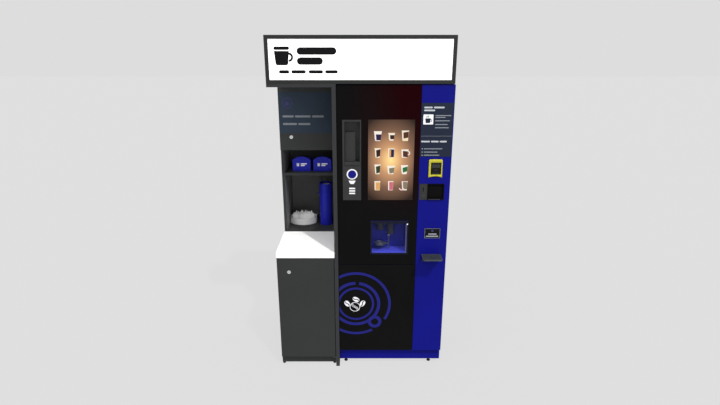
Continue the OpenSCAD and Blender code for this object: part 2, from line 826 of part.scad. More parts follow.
module card_reader() {
  color(black_gloss) {
    block([reader_x[0] + 9.3, reader_x[1] - 4.3], [door_y - 5, frame_y], [reader_z[0] + 14.3, reader_z[1] - 16.3]);
    block([reader_x[0] + 2, reader_x[1] - 2], [frame_y, frame_y + 30], [reader_z[0] + 3, reader_z[1] - 3]);
  }
}

// Plate with the coin slot and the return button's hole
module coin_plate() {
  slot_x = coin_x[0] + 24;
  color([0.45, 0.44, 0.46]) difference() {
    block([coin_x[0] + 0.3, coin_x[1]], [door_y - 3, frame_y], [coin_z[0] + 0.3, coin_z[1] - 0.3]);
    block([slot_x - 2, slot_x + 2], [door_y - 4, frame_y + 1], [coin_z[1] - 50, coin_z[1] - 18]);
    rod_y(slot_x, [door_y - 4, frame_y + 1], coin_button_z, coin_button_r);
  }
}

module coin_return_button() {
  color(steel) {
    rod_y(coin_x[0] + 24, [door_y - 8, frame_y + 0.4], coin_button_z, coin_button_r - 0.08);
    rod_y(coin_x[0] + 24, [frame_y + 0.4, frame_y + 3], coin_button_z, coin_button_r + 3);
  }
}

// Coin cup: a deep box with a lip along its lower edge
module coin_cup() {
  wall = 3;
  in_x = [coin_cup_x[0] + 4, coin_cup_x[1] - 6];
  in_z = [coin_z[0] + 9, coin_z[1] - 5];
  color(black_gloss) difference() {
    union() {
      block([coin_cup_x[0], coin_cup_x[1] - 0.3], [door_y - 3, frame_y], [coin_z[0] + 0.3, coin_z[1] - 0.3]);
      block(
        [in_x[0] - wall, in_x[1] + wall], [frame_y, coin_cup_back + wall], [in_z[0] - wall, in_z[1] + wall]
      );
      block([in_x[0], in_x[1]], [door_y - 9, door_y - 3], [coin_z[0] + 2, in_z[0]]);
    }
    block(in_x, [door_y - 4, coin_cup_back], in_z);
    rod_x([in_x[0] - 2.5, in_x[1] + 2.5], flap_axis[0], flap_axis[1], flap_pin_r + run);
  }
}

// Flap hung inside the coin cup's mouth
module coin_flap() {
  x = [coin_cup_x[0] + 5, coin_cup_x[1] - 7];
  y = [flap_axis[0] - flap_r, flap_axis[0] + flap_r];
  color(black_gloss) {
    block(x, [y[0], y[0] + 3], [coin_z[0] + 10, flap_axis[1]]);
    rod_x(x, flap_axis[0], flap_axis[1], flap_r);
    rod_x([x[0] - 3, x[1] + 3], flap_axis[0], flap_axis[1], flap_pin_r);
  }
}

// Small shelf for a cup, on two gussets
module cup_shelf() {
  front = y_front - shelf_reach;
  z = [cup_shelf_z - 6, cup_shelf_z];
  gusset = [[front + 14, z[0]], [door_y, z[0]], [door_y, z[0] - 50]];
  color([0.30, 0.30, 0.33]) {
    block(cup_shelf_x, [front, door_y], z);
    for (x = [cup_shelf_x[0] + 6, cup_shelf_x[1] - 10])
      translate([x, 0, 0]) rotate([90, 0, 90]) linear_extrude(4) polygon(gusset);
  }
}

divider_panel();
left_side_panel();
cabinet_base();
cabinet_back();
worktop();
shelf_boards();
top_board();
cabinet_feet();
door_brackets();
pivot_pins();
lid_bins();
cup_tube();
tube_bracket();
sachet_holder();
sachets();
lower_door();
lower_lock_barrel();
lower_lock_cam();
upper_door();
upper_lock_barrel();
upper_lock_cam();
header_case();
header_face();
header_lights();
machine_sides();
machine_roof();
machine_back();
machine_base();
machine_feet();
hinge_brackets();
equipment_deck();
bean_hopper();
grinder();
brew_unit();
boiler();
powder_canisters();
mixing_bowls();
waste_bucket();
control_box();
water_inlet();
cup_turret();
door_frame();
glass_fascia();
lower_panel();
column_panel();
touch_screen();
cup_bay();
start_button();
delivery_bay();
delivery_door();
cup_stand();
nozzle_block();
info_plates();
card_reader();
reader_bezel();
coin_plate();
coin_return_button();
coin_cup();
coin_flap();
cup_shelf();
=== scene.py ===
# %% [markdown]
# # A hot coffee vending kiosk
# The kiosk is a bean-to-cup machine standing beside a condiment cabinet, with a lit header over both. Its
# frame, panels, doors and joints come from the CAD model. This notebook gives every surface its finish,
# rounds the edges that a hand or the light would find, and adds the small parts that a drawing leaves out.

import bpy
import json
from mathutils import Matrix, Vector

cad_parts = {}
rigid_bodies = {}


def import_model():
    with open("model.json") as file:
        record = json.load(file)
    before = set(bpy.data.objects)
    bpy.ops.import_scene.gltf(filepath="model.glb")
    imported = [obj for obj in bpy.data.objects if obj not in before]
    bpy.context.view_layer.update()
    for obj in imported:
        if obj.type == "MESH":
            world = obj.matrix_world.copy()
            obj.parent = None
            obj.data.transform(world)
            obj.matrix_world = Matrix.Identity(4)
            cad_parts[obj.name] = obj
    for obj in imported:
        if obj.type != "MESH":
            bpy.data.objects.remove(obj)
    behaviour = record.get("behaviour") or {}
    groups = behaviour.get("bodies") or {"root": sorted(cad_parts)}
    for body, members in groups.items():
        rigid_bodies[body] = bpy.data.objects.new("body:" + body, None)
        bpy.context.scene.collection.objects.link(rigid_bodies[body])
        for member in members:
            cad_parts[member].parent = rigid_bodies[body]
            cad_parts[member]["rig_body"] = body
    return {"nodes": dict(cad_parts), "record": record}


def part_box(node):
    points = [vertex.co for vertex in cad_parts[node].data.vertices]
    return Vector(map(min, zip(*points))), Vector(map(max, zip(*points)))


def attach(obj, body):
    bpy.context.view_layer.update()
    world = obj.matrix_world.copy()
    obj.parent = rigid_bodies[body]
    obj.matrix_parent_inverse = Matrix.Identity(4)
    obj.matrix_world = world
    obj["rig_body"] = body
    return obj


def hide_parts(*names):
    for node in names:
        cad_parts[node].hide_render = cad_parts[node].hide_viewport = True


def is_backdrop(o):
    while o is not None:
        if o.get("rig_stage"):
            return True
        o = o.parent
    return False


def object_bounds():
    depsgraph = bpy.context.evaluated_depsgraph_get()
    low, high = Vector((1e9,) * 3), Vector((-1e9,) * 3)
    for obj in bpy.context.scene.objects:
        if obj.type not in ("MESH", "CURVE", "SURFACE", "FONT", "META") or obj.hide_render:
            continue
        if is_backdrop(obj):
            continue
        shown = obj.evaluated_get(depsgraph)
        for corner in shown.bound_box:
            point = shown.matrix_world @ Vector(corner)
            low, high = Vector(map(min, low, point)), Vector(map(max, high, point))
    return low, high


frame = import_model()
cad_low, cad_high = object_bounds()
print("kiosk size in metres:", [round(high - low, 3) for low, high in zip(cad_low, cad_high)])

# %% The modules that the cells below use
import json
import math
import random

import bmesh
import bpy
from mathutils import Euler, Matrix, Vector

# %% [markdown]
# ## Where things are
# Every place is worked out from the boxes of the CAD nodes, so the details follow the frame if it changes.
# Graphics are laid out in millimetres on upright faces, with X across and Z up.

# %% Millimetres, and the planes that pieces are laid on
MM = 0.001


def low(node):
    """Lowest corner of a CAD node in millimetres."""
    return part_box(node)[0] / MM


def high(node):
    """Highest corner of a CAD node in millimetres."""
    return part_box(node)[1] / MM


kiosk_left = cad_low.x / MM
door_front = low("glass_fascia").y
print("machine door's front plane:", round(door_front, 1), "mm")

# %% [markdown]
# ## Effects that several finishes share
# Real paint, laminate and plastic are never one flat value. Four small node groups make the variation: a
# mottled tone, an uneven gloss, a fine moulded grain and a brushed grain. Each one takes its sizes as named
# inputs, so a finish only has to say how strong it wants them. They could be copied into each material, but
# a group is built once and stays the same everywhere.


# %% A helper that opens a node group
def open_group(name, inputs, outputs):
    """A new shader group with named sockets: returns the group, its input sockets and its output sockets."""
    group = bpy.data.node_groups.new(name, "ShaderNodeTree")
    for label, kind, value in inputs:
        socket = group.interface.new_socket(label, in_out="INPUT", socket_type=kind)
        if value is not None:
            socket.default_value = value
    for label, kind in outputs:
        group.interface.new_socket(label, in_out="OUTPUT", socket_type=kind)
    start = group.nodes.new("NodeGroupInput")
    end = group.nodes.new("NodeGroupOutput")
    return group, start.outputs, end.inputs


VECTOR, FLOAT, COLOR = "NodeSocketVector", "NodeSocketFloat", "NodeSocketColor"


# %% Small helpers for nodes inside any tree
def feed(tree, value, socket):
    """Links an output to a socket, or sets the socket when the value is a plain number or colour."""
    if hasattr(value, "is_output"):
        tree.links.new(value, socket)
    else:
        socket.default_value = value


def add_noise(tree, vector, scale, detail=3.0, roughness=0.55):
    noise = tree.nodes.new("ShaderNodeTexNoise")
    noise.inputs["Detail"].default_value = detail
    noise.inputs["Roughness"].default_value = roughness
    tree.links.new(vector, noise.inputs["Vector"])
    feed(tree, scale, noise.inputs["Scale"])
    return noise.outputs["Fac"]


def add_math(tree, operation, a, b=0.0):
    node = tree.nodes.new("ShaderNodeMath")
    node.operation = operation
    feed(tree, a, node.inputs[0])
    feed(tree, b, node.inputs[1])
    return node.outputs[0]


def add_range(tree, value, from_low, from_high, to_low, to_high):
    node = tree.nodes.new("ShaderNodeMapRange")
    labels = ("Value", "From Min", "From Max", "To Min", "To Max")
    for label, item in zip(labels, (value, from_low, from_high, to_low, to_high)):
        feed(tree, item, node.inputs[label])
    return node.outputs["Result"]


def add_mix(tree, share, a, b):
    node = tree.nodes.new("ShaderNodeMix")
    node.data_type = "RGBA"
    for label, value in (("Factor", share), ("A", a), ("B", b)):
        feed(tree, value, node.inputs[label])
    return [o for o in node.outputs if o.type == "RGBA"][0]


# %% The mottled tone group: two close colours in soft clouds
mottle, given, result = open_group(
    "mottled_tone",
    [("Vector", VECTOR, None), ("Scale", FLOAT, 8.0), ("Colour A", COLOR, None), ("Colour B", COLOR, None)],
    [("Colour", COLOR)],
)
clouds = add_noise(mottle, given["Vector"], given["Scale"], detail=5.0)
share = add_range(mottle, clouds, 0.3, 0.7, 0.0, 1.0)
mottle.links.new(add_mix(mottle, share, given["Colour A"], given["Colour B"]), result["Colour"])

# %% The uneven gloss group: smooth smears with finer specks of dust in them
gloss, given, result = open_group(
    "uneven_gloss",
    [("Vector", VECTOR, None), ("Scale", FLOAT, 6.0), ("Low", FLOAT, 0.2), ("High", FLOAT, 0.3)],
    [("Roughness", FLOAT)],
)
smears = add_noise(gloss, given["Vector"], given["Scale"], detail=2.0)
specks = add_noise(gloss, given["Vector"], add_math(gloss, "MULTIPLY", given["Scale"], 23.0), detail=1.0)
both = add_math(
    gloss, "ADD", add_math(gloss, "MULTIPLY", smears, 0.75), add_math(gloss, "MULTIPLY", specks, 0.25)
)
gloss.links.new(add_range(gloss, both, 0.35, 0.65, given["Low"], given["High"]), result["Roughness"])

# %% The moulded grain group: fine pebbles for a Bump node
grain, given, result = open_group(
    "moulded_grain", [("Vector", VECTOR, None), ("Scale", FLOAT, 900.0), ("Depth", FLOAT, 1.0)],
    [("Height", FLOAT)]
)
cells = grain.nodes.new("ShaderNodeTexVoronoi")
cells.feature = "SMOOTH_F1"
grain.links.new(given["Vector"], cells.inputs["Vector"])
grain.links.new(given["Scale"], cells.inputs["Scale"])
ripple = add_noise(grain, given["Vector"], add_math(grain, "MULTIPLY", given["Scale"], 0.4), detail=2.0)
pebbles = add_math(grain, "ADD", cells.outputs["Distance"], ripple)
grain.links.new(add_math(grain, "MULTIPLY", pebbles, given["Depth"]), result["Height"])

# %% The brushed grain group: noise drawn out along one axis
brush, given, result = open_group(
    "brushed_grain",
    [("Vector", VECTOR, None), ("Stretch", VECTOR, (900.0, 900.0, 9.0)), ("Low", FLOAT, 0.25),
    ("High", FLOAT, 0.4)], [("Roughness", FLOAT), ("Height", FLOAT)],
)
stretch = brush.nodes.new("ShaderNodeVectorMath")
stretch.operation = "MULTIPLY"
brush.links.new(given["Vector"], stretch.inputs[0])
brush.links.new(given["Stretch"], stretch.inputs[1])
hairs = add_noise(brush, stretch.outputs[0], 1.0, detail=2.0)
brush.links.new(hairs, result["Height"])
brush.links.new(add_range(brush, hairs, 0.3, 0.7, given["Low"], given["High"]), result["Roughness"])

# %% The settled dust group: pale specks, only where a face looks up
dust, given, result = open_group(
    "settled_dust",
    [("Vector", VECTOR, None), ("Scale", FLOAT, 40.0), ("Amount", FLOAT, 0.1), ("Colour", COLOR, None)],
    [("Colour", COLOR)],
)
facing = dust.nodes.new("ShaderNodeNewGeometry")
split = dust.nodes.new("ShaderNodeSeparateXYZ")
dust.links.new(facing.outputs["Normal"], split.inputs[0])
up = add_range(dust, split.outputs["Z"], 0.6, 1.0, 0.0, 1.0)
drift = add_range(dust, add_noise(dust, given["Vector"], given["Scale"], detail=6.0), 0.4, 0.7, 0.2, 1.0)
amount = add_math(dust, "MULTIPLY", add_math(dust, "MULTIPLY", up, drift), given["Amount"])
dust.links.new(add_mix(dust, amount, given["Colour"], (0.55, 0.53, 0.5, 1.0)), result["Colour"])
print("node groups:", [group.name for group in bpy.data.node_groups])

# %% [markdown]
# ## Finishes
# Each finish is one function call: a base colour with its tone, a roughness band, a grain and, where the
# real surface has one, a clear coat, a metal or a glow. Values that are the same all over go straight on
# the shader.


# %% A finish: the shader with its shared effects wired in
def place_group(tree, group, vector, **values):
    """Puts a node group in a material and sets its inputs."""
    node = tree.nodes.new("ShaderNodeGroup")
    node.node_tree = group
    tree.links.new(vector, node.inputs["Vector"])
    for label, value in values.items():
        node.inputs[label.replace("_", " ")].default_value = value
    return node


def shade(color, factor):
    return tuple(min(1.0, c * factor) for c in color) + (1.0,)


def finish(
    name, color, rough=(0.35, 0.5), tone=0.08, cloud=9.0, grain_scale=0, grain_depth=0.4, dusty=0.0, **fixed
):
    """A material with mottled tone and uneven gloss, and maybe grain or dust. Fixed values go on sockets."""
    material = bpy.data.materials.new(name)
    material.use_nodes = True
    tree = material.node_tree
    shader = tree.nodes["Principled BSDF"]
    place = tree.nodes.new("ShaderNodeTexCoord").outputs["Object"]
    tones = place_group(tree, mottle, place, Scale=cloud)
    tones.inputs["Colour A"].default_value = shade(color, 1 - tone)
    tones.inputs["Colour B"].default_value = shade(color, 1 + tone)
    color_out = tones.outputs["Colour"]
    if dusty:
        layer = place_group(tree, dust, place, Amount=dusty)
        tree.links.new(color_out, layer.inputs["Colour"])
        color_out = layer.outputs["Colour"]
    tree.links.new(color_out, shader.inputs["Base Color"])
    sheen = place_group(tree, gloss, place, Low=rough[0], High=rough[1])
    tree.links.new(sheen.outputs["Roughness"], shader.inputs["Roughness"])
    if grain_scale:
        pebble = place_group(tree, grain, place, Scale=grain_scale, Depth=1.0)
        add_bump(tree, shader, pebble.outputs["Height"], grain_depth)
    for label, value in fixed.items():
        shader.inputs[label.replace("_", " ")].default_value = value
    return material


def add_bump(tree, shader, height, depth_mm):
    """Feeds a height to the shader's normal: depth in tenths of a millimetre."""
    bump = tree.nodes.new("ShaderNodeBump")
    bump.inputs["Strength"].default_value = 0.5
    bump.inputs["Distance"].default_value = depth_mm * 0.1 * MM
    tree.links.new(height, bump.inputs["Height"])
    tree.links.new(bump.outputs["Normal"], shader.inputs["Normal"])


def brushed(name, color, stretch, rough=(0.22, 0.38)):
    """Brushed metal whose grain runs along the axis with the small stretch."""
    material = finish(name, color, rough=rough, tone=0.05, Metallic=1.0)
    tree = material.node_tree
    shader = tree.nodes["Principled BSDF"]
    place = tree.nodes["Texture Coordinate"].outputs["Object"]
    hairlines = place_group(tree, brush, place, Stretch=stretch, Low=rough[0], High=rough[1])
    tree.links.new(hairlines.outputs["Roughness"], shader.inputs["Roughness"])
    add_bump(tree, shader, hairlines.outputs["Height"], 0.2)
    return material


# %% [markdown]
# The cabinet is made of dark grey laminated board: nearly matt, with the pebble grain that laminate is
# pressed with. The niche's back and the faces that look into it get paler copies of the same laminate:
# painted light, standing in for the light that reaches into the niche. The worktop is the same kind of
# board in white, a little smoother. The printed films are satin, so they get a finer grain.

# %% Laminates and printed films
laminate = dict(rough=(0.50, 0.66), cloud=5.0, grain_scale=700, grain_depth=0.8, Specular_IOR_Level=0.22)
dark_board = finish("dark_laminate", (0.0225, 0.0238, 0.0234), tone=0.04, dusty=0.05, **laminate)
white_board = finish(
    "white_laminate", (0.88, 0.88, 0.87), rough=(0.30, 0.45), tone=0.015, cloud=14.0, grain_scale=800,
    grain_depth=0.5, Specular_IOR_Level=0.4,
)
# Paler copies of the dark laminate for the niche's back and inner faces: painted light for the light that
# reaches into the niche.
niche_back_painted_light = finish("niche_back_laminate_painted_light", (0.108, 0.109, 0.108), tone=0.05, **laminate)
niche_walls_painted_light = finish("niche_walls_laminate_painted_light", (0.165, 0.167, 0.172), tone=0.05, **laminate)
# A lighter copy of the dark laminate for the upper door: painted light that offsets the header's shade on it.
upper_door_painted_light = finish("upper_door_laminate_painted_light", (0.036, 0.037, 0.037), tone=0.08, **laminate)
printed = dict(rough=(0.42, 0.55), tone=0.10, cloud=3.0, grain_scale=1200, grain_depth=0.3)
notice_film = finish("notice_film", (0.0135, 0.0185, 0.036), Specular_IOR_Level=0.10, **printed)
slate_film = finish("slate_film", (0.028, 0.043, 0.066), Specular_IOR_Level=0.15, **printed)

# %% [markdown]
# The machine is painted deep blue. Gloss enamel on sheet steel has a faint orange peel, so the bump is
# broad and shallow, under a clear coat that keeps the highlights sharp.

# %% Blue enamel and blue plastics
blue_enamel = finish(
    "blue_enamel", (0.0046, 0.0057, 0.165), rough=(0.30, 0.42), tone=0.06, cloud=4.0, grain_scale=260,
    grain_depth=0.5, dusty=0.02, Specular_IOR_Level=0.04, Coat_Weight=0.02, Coat_Roughness=0.12,
)
smooth_moulding = dict(
    rough=(0.22, 0.34), tone=0.06, cloud=20.0, grain_scale=900, grain_depth=0.2, Specular_IOR_Level=0.15
)
blue_moulding = finish("blue_moulding", (0.0045, 0.0055, 0.160), **smooth_moulding)
niche_blue = finish("niche_blue", (0.0135, 0.0175, 0.36), **smooth_moulding)
blue_vinyl = finish(
    "blue_vinyl", (0.0065, 0.0075, 0.145), tone=0.07, cloud=30.0, grain_scale=1500, grain_depth=0.2,
    Specular_IOR_Level=0.2,
)
purple_vinyl = finish("purple_vinyl", (0.022, 0.020, 0.135), rough=(0.4, 0.5), tone=0.07, cloud=30.0)

# %% Blacks, greys and whites
black_gloss = finish(
    "black_gloss", (0.0050, 0.0050, 0.0050), rough=(0.10, 0.20), tone=0.10, cloud=3.0,
    Specular_IOR_Level=0.02,
)
black_moulding = finish(
    "black_moulding", (0.010, 0.010, 0.011), rough=(0.45, 0.6), tone=0.1, cloud=25.0, grain_scale=1100,
    grain_depth=0.8, Specular_IOR_Level=0.25,
)
pebbled = dict(rough=(0.42, 0.55), cloud=18.0, grain_scale=1000, grain_depth=0.8)
grey_moulding = finish(
    "grey_moulding", (0.0265, 0.0265, 0.0280), tone=0.05, Specular_IOR_Level=0.2, **pebbled
)
shelf_grey = finish("shelf_grey", (0.036, 0.041, 0.043), tone=0.07, Specular_IOR_Level=0.3, **pebbled)
rim_grey = finish(
    "rim_powder_coat", (0.0185, 0.0200, 0.0190), rough=(0.42, 0.55), tone=0.06, cloud=6.0, grain_scale=1300,
    grain_depth=0.6, dusty=0.03, Specular_IOR_Level=0.2,
)
white_moulding = finish(
    "white_moulding", (0.80, 0.80, 0.79), rough=(0.28, 0.4), tone=0.02, cloud=25.0, grain_scale=900,
    grain_depth=0.2,
)
white_ink = finish("white_ink", (0.78, 0.78, 0.79), rough=(0.45, 0.6), tone=0.04, cloud=60.0)
black_ink = finish(
    "black_ink", (0.004, 0.004, 0.005), rough=(0.4, 0.5), tone=0.1, cloud=40.0, Specular_IOR_Level=0.10
)
yellow_moulding = finish(
    "yellow_moulding", (0.43, 0.39, 0.020), rough=(0.22, 0.34), tone=0.05, cloud=30.0, grain_scale=1200,
    grain_depth=0.2, Specular_IOR_Level=0.4,
)
rubber = finish(
    "black_rubber", (0.012, 0.012, 0.012), rough=(0.7, 0.85), tone=0.15, cloud=50.0, grain_scale=1500
)
card = finish(
    "white_paper", (0.95, 0.95, 0.94), rough=(0.75, 0.9), tone=0.03, cloud=60.0, grain_scale=2200,
    grain_depth=0.6,
)

# %% Metals
steel_upright = brushed("brushed_steel_upright", (0.55, 0.55, 0.57), (900.0, 900.0, 9.0))
steel_across = brushed("brushed_steel_across", (0.55, 0.55, 0.57), (9.0, 900.0, 900.0))
chrome = finish("polished_chrome", (0.72, 0.72, 0.74), rough=(0.06, 0.14), tone=0.03, Metallic=1.0)
brass = finish("plain_brass", (0.60, 0.42, 0.17), rough=(0.25, 0.4), tone=0.08, cloud=60.0, Metallic=1.0)
print("finishes so far:", len(bpy.data.materials))

# %% [markdown]
# Clear parts let shadows through, so they are made with alpha rather than refraction: a thin sheet bends
# light very little, and what is behind it stays bright.

# %% Clear plastics
clear_sheet = finish(
    "clear_sheet", (0.08, 0.10, 0.28), rough=(0.04, 0.10), tone=0.02, Alpha=0.03, Specular_IOR_Level=0.25,
)
frosted_edge = finish(
    "frosted_edge", (0.11, 0.12, 0.22), rough=(0.3, 0.45), tone=0.05, cloud=40.0, Alpha=0.45
)
smoked_clear = finish("smoked_clear", (0.18, 0.13, 0.10), rough=(0.08, 0.16), tone=0.05, Alpha=0.35)
milky_clear = finish(
    "milky_clear", (0.66, 0.68, 0.70), rough=(0.3, 0.42), tone=0.03, cloud=20.0, grain_scale=900,
    grain_depth=0.3
)


# %% [markdown]
# Lit parts glow by themselves: the header's face, the light strips, the screen and its pictures. The header
# shows faint bands where the strips sit behind it. The screen has one warm pool of light, brightest close
# to its middle, that falls off to a brown-grey at its edges.

# %% Glows
def glowing(name, color, strength, rough=(0.3, 0.4), base=None):
    material = finish(name, base or color, rough=rough, tone=0.02, Specular_IOR_Level=0.05 if base else 0.5)
    shader = material.node_tree.nodes["Principled BSDF"]
    shader.inputs["Emission Color"].default_value = (*color, 1.0)
    shader.inputs["Emission Strength"].default_value = strength
    return material


header_white = glowing("lit_white_acrylic", (0.92, 0.92, 0.92), 0.45)
strip_white = glowing("light_strip", (0.95, 0.96, 1.0), 2.0)
tiny_green = glowing("signal_green", (0.02, 0.20, 0.05), 0.4)


def banded_header_glow():
    """Bands of slightly stronger light where the header's strips are."""
    tree = header_white.node_tree
    shader = tree.nodes["Principled BSDF"]
    place = tree.nodes["Texture Coordinate"].outputs["Object"]
    axes = tree.nodes.new("ShaderNodeSeparateXYZ")
    tree.links.new(place, axes.inputs[0])
    strips = low("header_lights").z * MM
    pitch = (high("header_lights").z - low("header_lights").z) / 2.2 * MM
    phase = add_math(
        tree, "MULTIPLY", add_math(tree, "SUBTRACT", axes.outputs["Z"], strips), 2 * math.pi / pitch
    )
    wave = add_range(tree, add_math(tree, "COSINE", phase), -1.0, 1.0, 0.0, 1.0)
    color = add_mix(tree, wave, (0.88, 0.88, 0.87, 1.0), (1.0, 1.0, 1.0, 1.0))
    tree.links.new(color, shader.inputs["Emission Color"])


banded_header_glow()

# %% The screen's warm pool of light, measured from its brightest point
pool, given, result = open_group(
    "warm_pool", [("Vector", VECTOR, None), ("Centre", VECTOR, None), ("Reach", FLOAT, 0.26)],
    [("Colour", COLOR)]
)
offset = pool.nodes.new("ShaderNodeVectorMath")
offset.operation = "SUBTRACT"
pool.links.new(given["Vector"], offset.inputs[0])
pool.links.new(given["Centre"], offset.inputs[1])
flatten = pool.nodes.new("ShaderNodeVectorMath")
flatten.operation = "MULTIPLY"
flatten.inputs[1].default_value = (1.25, 0.0, 1.0)
pool.links.new(offset.outputs[0], flatten.inputs[0])
distance = pool.nodes.new("ShaderNodeVectorMath")
distance.operation = "LENGTH"
pool.links.new(flatten.outputs[0], distance.inputs[0])
ramp = pool.nodes.new("ShaderNodeValToRGB")
ramp_stops = (
    (0.00, (1.00, 0.82, 0.32)), (0.12, (0.96, 0.60, 0.25)), (0.32, (0.60, 0.31, 0.15)),
    (0.62, (0.21, 0.110, 0.066)), (1.00, (0.024, 0.011, 0.007)),
)
while len(ramp.color_ramp.elements) < len(ramp_stops):
    ramp.color_ramp.elements.new(0.5)
for element, (position, color) in zip(ramp.color_ramp.elements, ramp_stops):
    element.position = position
    element.color = (*color, 1.0)
pool.links.new(add_math(pool, "DIVIDE", distance.outputs["Value"], given["Reach"]), ramp.inputs["Fac"])
pool.links.new(ramp.outputs["Color"], result["Colour"])

screen_low, screen_high = low("touch_screen"), high("touch_screen")
screen_middle = (screen_low + screen_high) / 2
screen_glow = finish("screen_glow", (0.008, 0.008, 0.008), rough=(0.12, 0.2), Specular_IOR_Level=0.03)
tree = screen_glow.node_tree
place = tree.nodes["Texture Coordinate"].outputs["Object"]
warm = place_group(tree, pool, place, Reach=0.27)
warm.inputs["Centre"].default_value = (screen_middle.x * MM, screen_middle.y * MM, (screen_middle.z + 6) * MM)
tree.links.new(warm.outputs["Colour"], tree.nodes["Principled BSDF"].inputs["Emission Color"])
tree.nodes["Principled BSDF"].inputs["Emission Strength"].default_value = 1.0

# %% [markdown]
# The glass fascia is painted black behind, with a deep red that comes in towards its upper right corner. It
# is a smooth blend across the sheet, so it is made from two coordinates, not from a picture.

# %% Fascia glass with its red corner
fascia_glass = finish(
    "fascia_glass", (0.0044, 0.0044, 0.0046), rough=(0.06, 0.12), tone=0.10, cloud=3.0,
    Specular_IOR_Level=0.02,
)
tree = fascia_glass.node_tree
shader = tree.nodes["Principled BSDF"]
axes = tree.nodes.new("ShaderNodeSeparateXYZ")
tree.links.new(tree.nodes["Texture Coordinate"].outputs["Object"], axes.inputs[0])
fascia_low, fascia_high = low("glass_fascia") * MM, high("glass_fascia") * MM
across = add_range(tree, axes.outputs["X"], fascia_low.x + 0.02, fascia_high.x - 0.10, 0.0, 1.0)
upward = add_range(tree, axes.outputs["Z"], fascia_low.z + 0.30, fascia_high.z, 0.0, 1.0)
corner = add_math(
    tree, "MULTIPLY", add_math(tree, "POWER", across, 1.3), add_math(tree, "POWER", upward, 0.8)
)
plain = shader.inputs["Base Color"].links[0].from_socket
tree.links.new(add_mix(tree, corner, plain, (0.0115, 0.0002, 0.0010, 1.0)), shader.inputs["Base Color"])
print("finishes in all:", len(bpy.data.materials))

# %% [markdown]
# ## Camera, light and floor
# The customer's eye is a little above head height and looks down at the kiosk from three metres away. One
# small sun stands high to the front and right, so the little cup shelf throws a crisp shadow to the lower
# left and a wedge of light falls on the worktop. Broad fills come from the left and the right, and a low
# one reaches the niche's back. The world is plain pale grey where the camera sees it. As light it is
# brightest overhead, like a ceiling, and it is darkest where gloss mirrors it, so black glass stays black.

# %% Camera
def stand_in_scene(thing):
    bpy.context.scene.collection.objects.link(thing)


camera_data = bpy.data.cameras.new("eye")
lens_mm, eye_spot, eye_tilt = 24.44, (-0.006, -3.078, 2.033), 72.02
camera_data.lens = lens_mm
camera_data.sensor_width = 36.0
camera = bpy.data.objects.new("eye", camera_data)
camera.location = eye_spot
camera.rotation_euler = (math.radians(eye_tilt), 0.0, 0.0)
stand_in_scene(camera)
bpy.context.scene.camera = camera
bpy.context.scene.view_settings.view_transform = "Standard"

# %% One sun and three broad fills
for label, direction, strength, angle in (
    ("window_sun", Vector((0.344, -0.510, 0.788)), 2.1, 1.8),
    ("fill_right", Vector((0.72, -0.68, 0.10)), 0.35, 40.0),
    ("fill_left", Vector((-0.45, -0.50, 0.74)), 0.9, 40.0),
    ("fill_niche", Vector((0.28, -0.96, 0.06)), 0.40, 25.0),
):
    light = bpy.data.lights.new(label, "SUN")
    light.energy = strength
    light.angle = math.radians(angle)
    lamp = bpy.data.objects.new(label, light)
    lamp.rotation_euler = direction.to_track_quat("Z", "Y").to_euler()
    stand_in_scene(lamp)

# %% World: plain for the camera, brightest overhead as light, dark for mirrors
world = bpy.data.worlds.new("pale_room")
world.use_nodes = True
bpy.context.scene.world = world
tree = world.node_tree
path = tree.nodes.new("ShaderNodeLightPath")
lit = tree.nodes["Background"].outputs[0]
overhead = tree.nodes.new("ShaderNodeSeparateXYZ")
tree.links.new(tree.nodes.new("ShaderNodeTexCoord").outputs["Generated"], overhead.inputs[0])
horizon_level, ceiling_level = 0.28, 1.35
rising = add_range(tree, overhead.outputs["Z"], 0.0, 1.0, horizon_level, ceiling_level)
tree.links.new(rising, tree.nodes["Background"].inputs["Strength"])
tree.nodes["Background"].inputs["Color"].default_value = (1.0, 1.0, 1.0, 1.0)
mirror_level, backdrop_level = 0.25, 0.723
for ray, level in (("Is Glossy Ray", mirror_level), ("Is Camera Ray", backdrop_level)):
    seen = tree.nodes.new("ShaderNodeBackground")
    seen.inputs["Color"].default_value = (level, level, level, 1.0)
    join = tree.nodes.new("ShaderNodeMixShader")
    tree.links.new(path.outputs[ray], join.inputs[0])
    tree.links.new(lit, join.inputs[1])
    tree.links.new(seen.outputs[0], join.inputs[2])
    lit = join.outputs[0]
tree.links.new(lit, tree.nodes["World Output"].inputs["Surface"])

# %% Floor
floor_mesh = bpy.data.meshes.new("floor")
reach = 30.0
floor_mesh.from_pydata(
    [(-reach, -reach, 0), (reach, -reach, 0), (reach, reach, 0), (-reach, reach, 0)], [], [(0, 1, 2, 3)]
)
floor = bpy.data.objects.new("floor", floor_mesh)
floor_paint = bpy.data.materials.new("pale_floor")
floor_paint.use_nodes = True
shader = floor_paint.node_tree.nodes["Principled BSDF"]
floor_tone, floor_glow = 0.04, 0.67
shader.inputs["Base Color"].default_value = (floor_tone, floor_tone, floor_tone, 1.0)
shader.inputs["Emission Color"].default_value = (1.0, 1.0, 1.0, 1.0)
shader.inputs["Emission Strength"].default_value = floor_glow
shader.inputs["Roughness"].default_value = 1.0
shader.inputs["Specular IOR Level"].default_value = 0.0
floor.data.materials.append(floor_paint)
stand_in_scene(floor)
floor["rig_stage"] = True
print("camera stands", round(camera.location.length, 2), "m away")

# %% [markdown]
# ## Tools of the workshop
# A CAD solid has knife-sharp edges, which catch no light. `shaped` copies a solid, joins its loose
# triangles, clears the flat faces and rounds every edge a little, then lets the copy stand for the CAD
# part. New parts are gathered in a `Kit`, which collects boxes, turned parts and flat shapes into one mesh
# with several finishes.

# %% From mesh to piece
slot_of = {entry["node"]: entry["material_slot"] for entry in frame["record"]["subparts"]}
body_of = {node: item["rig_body"] for node, item in frame["nodes"].items()}


